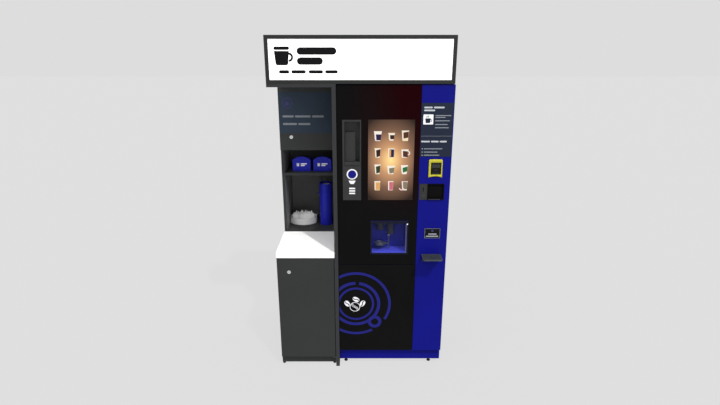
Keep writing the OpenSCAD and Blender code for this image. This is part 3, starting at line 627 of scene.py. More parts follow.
def as_piece(mesh, name, body, slot, replaced=()):
    """Links a mesh as a finished piece that rides on a body, and hides the CAD nodes it stands for."""
    mesh.name = name
    piece = bpy.data.objects.new(name, mesh)
    stand_in_scene(piece)
    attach(piece, body)
    if replaced:
        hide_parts(*replaced)
    return piece


def baked(piece):
    """The mesh that an object has after its modifiers."""
    bpy.context.view_layer.update()
    graph = bpy.context.evaluated_depsgraph_get()
    return bpy.data.meshes.new_from_object(
        piece.evaluated_get(graph), preserve_all_data_layers=True, depsgraph=graph
    )


def rounded(mesh, edge, segments=2, limit=28.0):
    """A mesh with its sharp edges bevelled and its flat faces kept flat in the light."""
    helper = bpy.data.objects.new("helper", mesh)
    stand_in_scene(helper)
    for polygon in mesh.polygons:
        polygon.use_smooth = True
    bevel = helper.modifiers.new("edges", "BEVEL")
    bevel.width = edge * MM
    bevel.segments = segments
    bevel.limit_method = "ANGLE"
    bevel.angle_limit = math.radians(limit)
    bevel.harden_normals = True
    bevel.use_clamp_overlap = True
    result = baked(helper)
    bpy.data.objects.remove(helper)
    return result


# %% A CAD solid with eased edges
def shaped(node, edge, *finishes, pick=None, segments=2, name=None):
    """Copies a CAD node, rounds its edges by so many millimetres and gives it its finish.

    With several finishes, pick(centre in mm, normal) says which one a face gets.
    """
    shape = bmesh.new()
    shape.from_mesh(frame["nodes"][node].data)
    bmesh.ops.remove_doubles(shape, verts=shape.verts, dist=0.00003)
    bmesh.ops.dissolve_limit(
        shape, angle_limit=math.radians(0.8), verts=shape.verts, edges=shape.edges,
        use_dissolve_boundaries=False
    )
    mesh = bpy.data.meshes.new(node)
    shape.to_mesh(mesh)
    shape.free()
    if "custom_normal" in mesh.attributes:
        mesh.attributes.remove(mesh.attributes["custom_normal"])
    for polygon in mesh.polygons:
        polygon.material_index = 0
    mesh.materials.clear()
    for item in finishes:
        mesh.materials.append(item)
    if pick:
        for polygon in mesh.polygons:
            polygon.material_index = pick(polygon.center / MM, polygon.normal)
    mesh = rounded(mesh, edge, segments)
    return as_piece(mesh, name or node + "_shaped", body_of[node], slot_of[node], (node,))


# %% A kit of parts: boxes, turned parts, extrusions and flat shapes in one mesh
class Kit:
    """Collects simple closed solids, in millimetres, as one mesh with several finishes."""

    def __init__(self):
        self.points, self.faces, self.marks, self.smooth, self.finishes = [], [], [], [], []

    def mark(self, material):
        if material not in self.finishes:
            self.finishes.append(material)
        return self.finishes.index(material)

    def add(self, points, faces, material, smooth=False):
        start, index = len(self.points), self.mark(material)
        self.points += [tuple(p) for p in points]
        self.faces += [tuple(start + i for i in face) for face in faces]
        self.marks += [index] * len(faces)
        self.smooth += [smooth] * len(faces)

    def slab(self, outline, axis, low_end, high_end, material, ease=0.0):
        """Extrudes an outline along an axis (0, 1 or 2), with its rims eased."""
        area = sum(a[0] * b[1] - b[0] * a[1] for a, b in zip(outline, outline[1:] + outline[:1]))
        flip = (area < 0) != (axis == 1)
        loop = list(reversed(outline)) if flip else list(outline)
        levels = [(low_end, 0.0), (high_end, 0.0)]
        if ease:
            levels = [(low_end, ease), (low_end + ease, 0.0), (high_end - ease, 0.0), (high_end, ease)]
        points, faces, count = [], [], len(loop)
        for level, inset in levels:
            for point in inset_outline(loop, inset if axis != 1 else -inset) if inset else loop:
                points.append(place(point, level, axis))
        for ring in range(len(levels) - 1):
            for i in range(count):
                j = (i + 1) % count
                a, b = ring * count, (ring + 1) * count
                faces.append((a + i, a + j, b + j, b + i))
        faces.append(tuple(reversed(range(count))))
        faces.append(tuple(range((len(levels) - 1) * count, len(levels) * count)))
        self.add(points, faces, material)

    def box(self, x, y, z, material, ease=0.5):
        self.slab(oblong(x, y), 2, z[0], z[1], material, ease)

    def turned(self, centre, axis, profile, material, steps=32, smooth=True, start=0.0):
        """A turned part: profile is (radius, height) from its lower end to its upper end."""
        points, faces = [], []
        for radius, height in profile:
            for step in range(steps):
                angle = start + 2 * math.pi * step / steps
                flat = (max(radius, 0.01) * math.cos(angle), max(radius, 0.01) * math.sin(angle))
                local = place(flat, height, axis)
                points.append(tuple(c + p for c, p in zip(centre, local)))
        count = len(profile)
        turn = axis == 1
        for ring in range(count - 1):
            for i in range(steps):
                j = (i + 1) % steps
                quad = (ring * steps + i, ring * steps + j, (ring + 1) * steps + j, (ring + 1) * steps + i)
                faces.append(tuple(reversed(quad)) if turn else quad)
        bottom, top = tuple(range(steps)), tuple(range((count - 1) * steps, count * steps))
        faces.append(bottom if turn else tuple(reversed(bottom)))
        faces.append(tuple(reversed(top)) if turn else top)
        self.add(points, faces, material, smooth)

    def piece(self, name, body, slot, replaced=(), sharp=35.0):
        mesh = bpy.data.meshes.new(name)
        mesh.from_pydata([tuple(v * MM for v in p) for p in self.points], [], self.faces)
        for item in self.finishes:
            mesh.materials.append(item)
        mesh.polygons.foreach_set("material_index", self.marks)
        mesh.polygons.foreach_set("use_smooth", self.smooth)
        mesh.set_sharp_from_angle(angle=math.radians(sharp))
        mesh.update()
        return as_piece(mesh, name, body, slot, replaced)


def place(flat, level, axis):
    """A point of a flat outline at a level along an axis."""
    a, b = flat
    return ((level, a, b), (a, level, b), (a, b, level))[axis]


def inset_outline(loop, amount):
    """Moves each side of a closed outline inwards by an amount."""
    result, count = [], len(loop)
    for i in range(count):
        before, here, after = Vector(loop[i - 1]), Vector(loop[i]), Vector(loop[(i + 1) % count])
        one, two = (here - before), (after - here)
        if one.length < 1e-6 or two.length < 1e-6:
            result.append(tuple(here))
            continue
        one.normalize(), two.normalize()
        left_one, left_two = Vector((-one.y, one.x)), Vector((-two.y, two.x))
        middle = left_one + left_two
        scale = amount / max(0.35, middle.dot(left_one) / max(middle.length,
            1e-6)) if middle.length > 1e-6 else 0
        result.append(tuple(here + (middle.normalized() * scale if middle.length > 1e-6 else Vector((0, 0)))))
    return result


# %% Outlines that the pieces share
def arc(centre, radius, start, end, steps=24, squeeze=1.0):
    """Points along an arc, angles in degrees."""
    return [
        (centre[0] + radius * math.cos(math.radians(start + (end - start) * i / steps)),
         centre[1] + radius * squeeze * math.sin(math.radians(start + (end - start) * i / steps)))
        for i in range(steps + 1)
    ]


def oblong(x, z):
    """A plain rectangle."""
    return [(x[0], z[0]), (x[1], z[0]), (x[1], z[1]), (x[0], z[1])]


def pill(x, z, radius=None, steps=5):
    """A rectangle with round corners."""
    radius = min(x[1] - x[0], z[1] - z[0]) / 2 if radius is None else radius
    radius = min(radius, (x[1] - x[0]) / 2 - 0.01, (z[1] - z[0]) / 2 - 0.01)
    corners = (
        ((x[1] - radius, z[0] + radius), -90), ((x[1] - radius, z[1] - radius), 0),
        ((x[0] + radius, z[1] - radius), 90), ((x[0] + radius, z[0] + radius), 180),
    )
    return [point for centre, start in corners for point in arc(centre, radius, start, start + 90, steps)]


def ring_band(centre, outer, inner, start=(0, 0), end=(360, 360), steps=60):
    """Outline of a curved band between two radii: start and end give the outer and the inner angle."""
    return arc(centre, outer, start[0], end[0], steps) + arc(centre, inner, end[1], start[1], steps)


# %% Flat shapes laid on a face that looks at the customer
def laid(kit, outline, face_y, material, rise=0.3):
    kit.slab(outline, 1, face_y - rise, face_y, material)


def laid_ring(kit, centre, outer, inner, face_y, material, rise=0.3, steps=64):
    """A whole ring as a closed mesh of its own."""
    points, faces = [], []
    for level, radius in ((face_y, outer), (face_y - rise, outer), (face_y - rise, inner), (face_y, inner)):
        for x, z in arc(centre, radius, 0, 360, steps)[:-1]:
            points.append((x, level, z))
    for ring in range(4):
        for i in range(steps):
            j = (i + 1) % steps
            a, b = ring * steps, (ring + 1) % 4 * steps
            faces.append((a + i, a + j, b + j, b + i))
    kit.add(points, faces, material)


print("workshop tools are ready")

# %% [markdown]
# ## Geometry Nodes for what repeats
# Screws, slats, cup rims and beans repeat. Three small trees do all of it: a row along a line, a ring round
# an axis, and a scatter over a surface. The part to repeat is the host's own mesh. Copying meshes in a loop
# would work too, but a tree keeps count, start and step as named numbers that are easy to change.


# %% A tree with named inputs
def open_tree(name, inputs):
    tree = bpy.data.node_groups.new(name, "GeometryNodeTree")
    tree.interface.new_socket("Geometry", in_out="INPUT", socket_type="NodeSocketGeometry")
    sockets = {}
    for label, kind in inputs:
        sockets[label] = tree.interface.new_socket(label, in_out="INPUT", socket_type=kind).identifier
    tree.interface.new_socket("Geometry", in_out="OUTPUT", socket_type="NodeSocketGeometry")
    start, end = tree.nodes.new("NodeGroupInput"), tree.nodes.new("NodeGroupOutput")
    return tree, sockets, start.outputs, end.inputs


def close_tree(tree, instances, finish_socket, end):
    """Makes the instances real, gives them their finish and sends them out."""
    real = tree.nodes.new("GeometryNodeRealizeInstances")
    paint = tree.nodes.new("GeometryNodeSetMaterial")
    tree.links.new(instances, real.inputs[0])
    tree.links.new(real.outputs[0], paint.inputs["Geometry"])
    tree.links.new(finish_socket, paint.inputs["Material"])
    tree.links.new(paint.outputs[0], end["Geometry"])


# %% Row tree
row_tree, row_sockets, given, end = open_tree("row_of_parts", [
    ("Count", "NodeSocketInt"), ("Start", VECTOR), ("Step", VECTOR), ("Finish", "NodeSocketMaterial")])
line = row_tree.nodes.new("GeometryNodeMeshLine")
set_down = row_tree.nodes.new("GeometryNodeInstanceOnPoints")
for a, b in (
    (given["Count"], line.inputs["Count"]), (given["Start"], line.inputs["Start Location"]),
    (given["Step"], line.inputs["Offset"]), (line.outputs[0], set_down.inputs["Points"]),
    (given["Geometry"], set_down.inputs["Instance"]),
):
    row_tree.links.new(a, b)
close_tree(row_tree, set_down.outputs[0], given["Finish"], end)

# %% Ring tree: turns the part about an axis through the host's origin, then moves the ring to its centre
ring_tree, ring_sockets, given, end = open_tree("ring_of_parts", [
    ("Count", "NodeSocketInt"), ("Axis", VECTOR), ("Centre", VECTOR), ("Finish", "NodeSocketMaterial")])
line = ring_tree.nodes.new("GeometryNodeMeshLine")
line.inputs["Offset"].default_value = (0, 0, 0)
index = ring_tree.nodes.new("GeometryNodeInputIndex")
share = add_math(ring_tree, "DIVIDE", index.outputs[0], given["Count"])
turn = ring_tree.nodes.new("ShaderNodeVectorMath")
turn.operation = "SCALE"
ring_tree.links.new(given["Axis"], turn.inputs[0])
ring_tree.links.new(add_math(ring_tree, "MULTIPLY", share, 2 * math.pi), turn.inputs["Scale"])
set_down = ring_tree.nodes.new("GeometryNodeInstanceOnPoints")
move = ring_tree.nodes.new("GeometryNodeTransform")
for a, b in (
    (given["Count"], line.inputs["Count"]), (line.outputs[0], set_down.inputs["Points"]),
    (given["Geometry"], set_down.inputs["Instance"]), (turn.outputs[0], set_down.inputs["Rotation"]),
    (set_down.outputs[0], move.inputs["Geometry"]), (given["Centre"], move.inputs["Translation"]),
):
    ring_tree.links.new(a, b)
close_tree(ring_tree, move.outputs[0], given["Finish"], end)


# %% Running a tree and keeping its mesh
def grown(mesh, tree, sockets, values):
    """The mesh that a tree makes from a host mesh, as plain geometry."""
    host = bpy.data.objects.new("host", mesh)
    stand_in_scene(host)
    modifier = host.modifiers.new("repeat", "NODES")
    modifier.node_group = tree
    for label, value in values.items():
        modifier[sockets[label]] = value
    result = baked(host)
    bpy.data.objects.remove(host)
    return result


def part_mesh(build):
    """A single part as a bare mesh: build fills a kit."""
    kit = Kit()
    build(kit)
    mesh = bpy.data.meshes.new("part")
    mesh.from_pydata([tuple(v * MM for v in p) for p in kit.points], [], kit.faces)
    mesh.polygons.foreach_set("use_smooth", kit.smooth)
    mesh.set_sharp_from_angle(angle=math.radians(35))
    return mesh


def repeated(name, build, runs, material, body, slot, replaced=()):
    """One piece made of parts in rows or rings.

    A row is ("row", start, step, count) and a ring is ("ring", centre, axis, count), in millimetres.
    """
    joined = bmesh.new()
    for kind, first, second, count in runs:
        if kind == "row":
            values = {"Count": count, "Start": [v * MM for v in first], "Step": [v * MM for v in second]}
            mesh = grown(part_mesh(build), row_tree, row_sockets, {**values, "Finish": material})
        else:
            values = {"Count": count, "Centre": [v * MM for v in first], "Axis": [float(v) for v in second]}
            mesh = grown(part_mesh(build), ring_tree, ring_sockets, {**values, "Finish": material})
        joined.from_mesh(mesh)
        bpy.data.meshes.remove(mesh)
    mesh = bpy.data.meshes.new(name)
    joined.to_mesh(mesh)
    joined.free()
    mesh.materials.clear()
    mesh.materials.append(material)
    for polygon in mesh.polygons:
        polygon.material_index = 0
    return as_piece(mesh, name, body, slot, replaced)


# %% The screws of the kiosk: a domed head with a six-sided socket, looking along any direction
def screw(axis, sign=1, radius=3.5, height=1.8):
    """A builder for one screw head whose dome looks along the axis."""

    def build(kit):
        profile = [
            (radius, 0.0), (radius, height * 0.35), (radius * 0.86, height * 0.8), (radius * 0.6, height),
            (radius * 0.45, height), (radius * 0.42, height * 0.4), (0.0, height * 0.4),
        ]
        if sign < 0:
            profile = [(r, -h) for r, h in reversed(profile)]
        kit.turned((0, 0, 0), axis, profile, chrome, steps=12)

    return build


print("trees:", row_tree.name, "and", ring_tree.name)

# %% [markdown]
# ## The header
# The header is a folded sheet box with a white acrylic face set into it. The lit face is one plain sheet.
# The sign on it is this maker's own: a cup, two thick strokes and a thin broken line, cut from black film.

# %% Header box, face and strips
shaped("header_case", 1.2, rim_grey)
shaped("header_face", 0.8, header_white)
shaped("header_lights", 1.0, strip_white)


def cup_outline(x, z, width, height, taper=0.14, round_foot=0.16):
    """A cup seen from the side: a slightly tapered body with a rounded foot. x is its middle, z its foot."""
    half, foot, r = width / 2, width / 2 * (1 - taper), width * round_foot
    left = arc((x - foot + r, z + r), r, 270, 190, 6)
    right = arc((x + foot - r, z + r), r, 350, 270, 6)
    return [(x - half, z + height)] + left[::-1] + right[::-1] + [(x + half, z + height)]


sign = Kit()
face_y = low("header_face").y
sign_x, sign_z = low("header_face").x + 32, low("header_face").z + 78
laid(sign, cup_outline(sign_x + 40, sign_z, 80, 74), face_y, black_ink)
laid(sign, ring_band((sign_x + 78, sign_z + 42), 24, 13, (-90, -90), (90, 90), 24), face_y, black_ink)
laid(sign, pill((sign_x - 2, sign_x + 82), (sign_z + 80, sign_z + 97)), face_y, black_ink)
laid(sign, pill((sign_x + 122, sign_x + 336), (sign_z + 55, sign_z + 93)), face_y, black_ink)
laid(sign, pill((sign_x + 122, sign_x + 262), (sign_z + 3, sign_z + 41)), face_y, black_ink)
for start, stop in ((22, 78), (90, 168), (184, 262), (274, 342)):
    laid(sign, pill((sign_x + start, sign_x + stop), (sign_z - 43, sign_z - 26)), face_y, black_ink)
sign.piece("header_sign", "kiosk", "white_acrylic")

# %% Screws round the header's sides and back
case_low, case_high = low("header_case"), high("header_case")
for label, axis, sign_of, x in (("left", 0, -1, case_low.x), ("right", 0, 1, case_high.x)):
    # heads sit in the side sheet, so they rise inwards of the kiosk's widest plane
    repeated(
        "header_screws_" + label, screw(0, sign_of, 3.2, 1.2),
        [
            ("row", (x - sign_of * 1.25, case_low.y + 30, z), (0, 45, 0), 5)
            for z in (case_low.z + 18, case_high.z - 18)
        ], steel_upright, "kiosk", "dark_metal",
    )
repeated(
    "header_screws_back", screw(1, 1, 3.2, 1.2),
    [("row", (case_low.x + 40, case_high.y, z), (96, 0, 0), 11) for z in (case_low.z + 14, case_high.z - 14)],
    steel_upright, "kiosk", "dark_metal",
)

# %% [markdown]
# ## The condiment cabinet
# The cabinet is board work: panels with a thin edge band on their front edges, rows of small holes for
# shelf pins inside, levelling feet and a plain plinth. The band is a separate finish picked by which way a
# face looks.

# %% Boards
edge_band = finish(
    "edge_band", (0.0215, 0.0220, 0.0240), rough=(0.38, 0.5), tone=0.06, cloud=12.0, grain_scale=1100,
    grain_depth=0.3, Specular_IOR_Level=0.3,
)

niche_z = (high("worktop").z - 2, high("cabinet_back").z)
left_wall, right_wall = high("left_side_panel").x, low("divider_panel").x


def banded(centre, normal):
    """Edge band on front edges; a paler laminate, painted light, on the faces that look into the niche."""
    if normal.y < -0.9 and centre.y < low("cabinet_back").y - 1:
        return 1
    beside = (normal.x > 0.9 and abs(centre.x - left_wall) < 1) or (
        normal.x < -0.9 and abs(centre.x - right_wall) < 1
    )
    inner = beside or (normal.y < -0.9) or (normal.z < -0.9 and left_wall < centre.x < right_wall)
    return 2 if inner and centre.z > niche_z[0] else 0


# Faces that look into the niche take the paler laminate: painted light.
for board in ("divider_panel", "left_side_panel", "top_board", "shelf_boards"):
    shaped(board, 0.9, dark_board, edge_band, niche_walls_painted_light, pick=banded)
shaped("cabinet_base", 0.9, dark_board)
# The back's face into the niche takes the paler laminate: painted light.
shaped("cabinet_back", 0.5, dark_board, niche_back_painted_light, pick=lambda centre, normal: 1 if normal.y < -0.9 else 0)
shaped("worktop", 1.6, white_board, segments=3)

# %% Shelf-pin holes: small dark sleeves in rows, 32 mm apart
def pin_sleeve(side):
    def build(kit):
        profile = [(4.2, 0.0), (4.2, 0.25), (3.6, 0.45), (2.6, 0.45), (2.4, 0.1), (0.0, 0.1)]
        kit.turned(
            (0, 0, 0), 0, profile if side > 0 else [(r, -h) for r, h in reversed(profile)], black_moulding, 12
        )

    return build


hole_rows = {
    "left": (pin_sleeve(1), left_wall), "right": (pin_sleeve(-1), right_wall),
}
for side, (build, x) in hole_rows.items():
    repeated(
        "pin_sleeves_" + side, build,
        [("row", (x, y, z), (0, 0, 32), count) for y in (-190, 330) for z, count in ((150, 7), (480, 8))]
        + [("row", (x, y, z), (0, 0, 32), count) for y in (110, 330) for z, count in ((930, 7), (1450, 9))],
        black_moulding, "kiosk", "dark_board",
    )


# %% Levelling feet: a hex nut on a threaded stem over a dished rubber pad
def levelling_foot(kit, x, y, pad_r, stem_r, top, pad_metal):
    pad_h = min(9.0, top * 0.7)
    kit.turned((x, y, 0), 2, [
        (pad_r * 0.92, 0.0), (pad_r, 1.2), (pad_r, pad_h * 0.45), (pad_r * 0.8, pad_h * 0.8),
        (pad_r * 0.5, pad_h)
    ], rubber, 40)
    profile = [(stem_r, pad_h - 0.5)]
    level = pad_h
    while level < top - 0.1:
        profile += [(stem_r, level), (stem_r - 0.8, min(level + 0.75, top))]
        level += 1.5
    profile.append((stem_r - 0.8, top))
    kit.turned((x, y, 0), 2, profile, pad_metal, 28)
    if top - pad_h > 10:
        nut = [(stem_r * 1.55, 0), (stem_r * 1.65, 1), (stem_r * 1.65, 6), (stem_r * 1.55, 7)]
        kit.turned((x, y, pad_h + 4), 2, nut, pad_metal, 6, smooth=False)


for node, pad_r, stem_r in (("cabinet_feet", 9.5, 5), ("machine_feet", 12, 6)):
    feet = Kit()
    near, far = low(node), high(node)
    for x in (near.x + pad_r, far.x - pad_r):
        for y in (near.y + pad_r, far.y - pad_r):
            levelling_foot(feet, x, y, pad_r, stem_r, far.z, black_moulding)
    feet.piece(node + "_shaped", "kiosk", "rubber", (node,))

# %% Door hardware
bracket_grey = finish(
    "bracket_powder_coat", (0.030, 0.031, 0.033), rough=(0.4, 0.55), tone=0.08, cloud=30.0, grain_scale=1400,
    grain_depth=0.5, Specular_IOR_Level=0.25,
)
shaped("door_brackets", 0.4, bracket_grey)
shaped("pivot_pins", 0.5, chrome)
for level in ("lower", "upper"):
    shaped(level + "_lock_barrel", 0.6, chrome)
    shaped(level + "_lock_cam", 0.25, chrome)
    # The upper door takes the lighter laminate copy: painted light against the header's shade.
    shaped(level + "_door", 1.0, dark_board if level == "lower" else upper_door_painted_light)
print("cabinet width:", round(high("divider_panel").x - kiosk_left, 1), "mm")

# %% [markdown]
# The upper door carries a printed film across its whole width, with a small cup mark in a ring and two
# lines. Film has thickness, so it is a 0.3 mm sheet on the door. The two lines stand for words without
# spelling any.

# %% Film on the upper door
soft_ink = finish("soft_grey_ink", (0.19, 0.21, 0.235), rough=(0.45, 0.6), tone=0.05, cloud=60.0)
film = Kit()
door_low, door_high = low("upper_door"), high("upper_door")
film_z = (door_low.z + 111, door_high.z - 56)
film_x = (door_low.x + 1.5, door_high.x - 10)
laid(film, oblong(film_x, film_z), door_low.y, slate_film)
mark_x, mark_z = door_low.x + 57, film_z[1] - 68
film_y = door_low.y - 0.3
laid_ring(film, (mark_x, mark_z), 33, 28, film_y, purple_vinyl)
laid(film, cup_outline(mark_x - 2, mark_z - 16, 26, 22), film_y, purple_vinyl)
laid(film, ring_band((mark_x + 11, mark_z - 4), 8, 5, (-90, -90), (90, 90), 12), film_y, purple_vinyl)
for offset in (-6, 4):
    laid(film, pill((mark_x + offset, mark_x + offset + 3), (mark_z + 9, mark_z + 20)), film_y, purple_vinyl)
text_x = door_low.x + 24
for z, words in ((film_z[1] - 158, (78, 108, 82)), (film_z[1] - 206, (98, 84))):
    x = text_x
    for word in words:
        laid(film, pill((x, x + word * 0.92), (z, z + 13)), film_y, soft_ink)
        x += word
film.piece("upper_door_film", "upper_leaf", "dark_board")
print("film, mm:", round(film_x[1] - film_x[0], 1), "x", round(film_z[1] - film_z[0], 1))

# %% [markdown]
# ## Lids, cups and sachets in the niche
# Two blue bins with arched fronts hold lids on the shelf. A tall blue tube holds paper cups. A white
# bow-fronted tray is packed with paper sachets, whose pinked ends make the jagged white heap that shows
# above its rim.

# %% Bins with a white sign on each front
shaped("lid_bins", 0.8, niche_blue)
bins = Kit()
bin_low, bin_high = low("lid_bins"), high("lid_bins")
bin_middles = (bin_low.x + 60.5, bin_high.x - 60.5)
for x in bin_middles:
    z = bin_low.z + 34
    laid(bins, cup_outline(x - 24, z, 17, 15), bin_low.y, white_ink)
    laid(bins, pill((x - 34, x - 14), (z + 17, z + 21)), bin_low.y, white_ink)
    laid(bins, pill((x - 6, x + 36), (z + 12, z + 20)), bin_low.y, white_ink)
    laid(bins, pill((x - 6, x + 22), (z + 1, z + 9)), bin_low.y, white_ink)
bins.piece("bin_signs", "kiosk", "blue_plastic")


# %% Lids stacked in the bins
def lid(kit):
    """One cup lid: a rolled rim, a raised deck and a sip dome."""
    kit.turned((0, 0, 0), 2, [
        (0.0, 0.0), (40.0, 0.0), (44.0, 0.3), (45.5, 1.6), (45.0, 3.2), (42.0, 3.4), (40.5, 6.4), (38.0, 7.2),
        (34.0, 6.0), (10.0, 5.6), (6.0, 6.4), (0.0, 6.5),
    ], white_moulding, 36)


repeated(
    "cup_lids", lid, [("row", (x, bin_low.y + 72, bin_low.z + 4), (0, 0, 7.6), 7) for x in bin_middles],
    white_moulding, "kiosk", "blue_plastic",
)

# %% Tube, its bracket and its paper cups
shaped("cup_tube", 0.9, niche_blue)
tube_low, tube_high = low("cup_tube"), high("cup_tube")
tube_x, tube_y = (tube_low.x + tube_high.x) / 2, (tube_low.y + tube_high.y) / 2
clamp_reach = 52
shaped(
    "tube_bracket", 0.35, bracket_grey, niche_blue,
    pick=lambda centre, normal: 1 if math.dist((centre.x, centre.y), (tube_x, tube_y)) < clamp_reach else 0,
)


def paper_cup_rim(radius):
    """The part of a nested cup that shows: a rolled rim over a short length of wall."""

    def build(kit):
        kit.turned((0, 0, 0), 2, [
            (radius - 6.0, 0.0), (radius - 2.6, 0.0), (radius - 1.8, 6.5), (radius - 0.4, 6.9), (radius, 8.0),
            (radius - 0.5, 9.1), (radius - 1.8, 9.3), (radius - 3.0, 8.2), (radius - 6.0, 0.2),
        ], card, 40)

    return build


repeated(
    "tube_cups", paper_cup_rim(40.2), [("row", (tube_x, tube_y, tube_low.z + 6), (0, 0, 9.6), 29)],
    card, "kiosk", "paper",
)

# %% Tray and sachets: thin crimped packets leaning in rows, cut with a fixed seed
tray_white = finish(
    "tray_white", (0.94, 0.94, 0.93), rough=(0.4, 0.5), tone=0.02, cloud=25.0, grain_scale=900,
    grain_depth=0.2
)
shaped("sachet_holder", 1.0, tray_white)
tray_low, tray_high = low("sachets"), high("sachets")
dice = random.Random(11)
paper = 0.25
tooth = (2.0, 6.0)


def sachet(kit, x, y, z, width, height, lean, twist, teeth):
    """A filled paper sachet: a flat pillow between two crimped ends with pinked edges."""
    points, faces = [], []
    columns = teeth * 2
    # share of the height, half thickness in mm, share of the width
    rows = (
        (0.0, paper, 1.0), (0.09, 0.3, 1.0), (0.16, 1.6, 1.0), (0.5, 2.3, 1.0), (0.8, 1.6, 0.9),
        (0.9, 0.4, 0.7), (1.0, paper, 0.38)
    )
    for side in (-1, 1):
        for share, thick, narrow in rows:
            for i in range(columns + 1):
                along = i / columns - 0.5
                belly = max(0.0, 1 - (2 * along) ** 4)
                rise = share * height + (dice.uniform(*tooth) if share == 1.0 and i % 2 else 0.0)
                across = side * (paper + (thick - paper) * belly)
                px, py = along * width * narrow, across + lean * rise / height
                points.append((x + px * math.cos(twist) - py * math.sin(twist),
                               y + px * math.sin(twist) + py * math.cos(twist), z + rise))
    stride, half = columns + 1, (columns + 1) * len(rows)
    for side in (0, 1):
        for row in range(len(rows) - 1):
            for i in range(columns):
                a = side * half + row * stride + i
                quad = (a, a + 1, a + stride + 1, a + stride)
                faces.append(quad if side == 0 else tuple(reversed(quad)))
    edge = [i for i in range(stride)]
    edge += [row * stride + columns for row in range(1, len(rows))]
    edge += [(len(rows) - 1) * stride + i for i in range(columns - 1, -1, -1)]
    edge += [row * stride for row in range(len(rows) - 2, 0, -1)]
    for a, b in zip(edge, edge[1:] + edge[:1]):
        faces.append((b, a, a + half, b + half))
    kit.add(points, faces, card)


packets = Kit()
packet_rows, packets_across, row_pitch, tray_margin, bow_half = 4, 11, 17.0, 12, 62
for row in range(packet_rows):
    for i in range(packets_across):
        width = 17 if i % 2 else 23
        x = tray_low.x + tray_margin + i * (tray_high.x - tray_low.x - 2 * tray_margin) / (packets_across - 1)
        y = tray_high.y - 8 - row * row_pitch
        if abs(x - (tray_low.x + tray_high.x) / 2) > bow_half and row == packet_rows - 1:
            continue
        sachet(packets, x, y + (3.5 if i % 2 else -2.5), tray_low.z + 0.4, width, dice.uniform(50, 76),
               dice.uniform(-3.0, 3.0), dice.uniform(-0.3, 0.3), 3)
packets.piece("sachets_shaped", "kiosk", "paper", ("sachets",))
print("packets' faces:", len(packets.faces))

# %% [markdown]
# ## The machine's shell
# The shell is folded sheet steel painted blue, with louvres at the back. Folded sheet has soft 0.5 mm
# edges, and its fixings are domed screws along the seams.

# %% Shell sheets and their screws
for sheet_node in ("machine_sides", "machine_roof", "machine_back"):
    shaped(sheet_node, 0.45, blue_enamel)
shaped("machine_base", 1.5, blue_enamel, segments=3)
shell_low, shell_high = low("machine_back"), high("machine_back")
screw_y, seam_z = shell_high.y - 1.4, (shell_low.z + 14, shell_high.z - 12)
repeated(
    "shell_screws_back", screw(1, 1, 4.0, 1.4),
    [("row", (x, screw_y, shell_low.z + 40), (0, 0, 205), 9) for x in (shell_low.x + 12, shell_high.x - 12)]
    + [("row", (shell_low.x + 92, screw_y, z), (120, 0, 0), 5) for z in seam_z],
    steel_upright, "kiosk", "blue_paint",
)
roof_low, roof_high = low("machine_roof"), high("machine_roof")
seam_y = (roof_high.y - 20, roof_low.y + 190)
repeated(
    "shell_screws_roof", screw(2, 1, 4.0, 1.4),
    [("row", (roof_low.x + 20, y, roof_high.z), (124, 0, 0), 6) for y in seam_y],
    steel_upright, "kiosk", "blue_paint",
)


# %% Louvre hoods over the slots in the back
louvre_z, louvre_pitch = 1452, 18


def hood(kit):
    """A pressed hood: an open lip that throws rain and dust clear of its slot."""
    points, faces = [], []
    for x in (-76, -70, 70, 76):
        depth = 0.4 if abs(x) > 72 else 2.0
        for y, z in (
            (0.0, 9.0), (-depth, 4.0), (-depth - 0.3, 0.0), (-depth + 0.4, 0.0), (-depth + 0.7, 3.6),
            (-0.02, 7.6)
        ):
            points.append((x, -y, z))
    for i in range(3):
        for j in range(6):
            a, b = i * 6 + j, i * 6 + (j + 1) % 6
            faces.append((a, a + 6, b + 6, b))
    faces += [(0, 1, 2, 3, 4, 5), tuple(18 + i for i in range(5, -1, -1))]
    kit.add(points, faces, blue_enamel)


repeated(
    "louvre_hoods", hood,
    [
        ("row", (x, shell_high.y - 2.45, louvre_z), (0, 0, louvre_pitch), 10)
        for x in (shell_low.x + 165, shell_high.x - 165)
    ], blue_enamel, "kiosk", "blue_paint",
)
shaped("hinge_brackets", 0.4, steel_upright)

# %% [markdown]
# ## The works behind the door
# Opening the door shows the parts that make the drink: cups in a turret, beans over a grinder, a brew unit,
# a boiler, powder canisters over their mixing bowls, the control box and the waste bucket. Each keeps its
# CAD shape and gets the fins, straps, ribs, fixings and knobs that such a part has.

# %% Deck, boiler and control box
shaped("equipment_deck", 0.5, steel_across)
shaped("boiler", 2.0, steel_upright, segments=3)
shaped("control_box", 0.8, steel_across)
boiler_low, boiler_high = low("boiler"), high("boiler")
boiler_x, boiler_y = (boiler_low.x + boiler_high.x) / 2, (boiler_low.y + boiler_high.y) / 2


def strap(kit):
    band = [(55.1, 0.0), (55.9, 0.3), (56.0, 1.0), (56.0, 11.0), (55.9, 11.7), (55.1, 12.0)]
    kit.turned((0, 0, 0), 2, band, steel_upright, 48)
    kit.box((-6, 6), (-61, -55), (1, 11), steel_upright, 0.6)


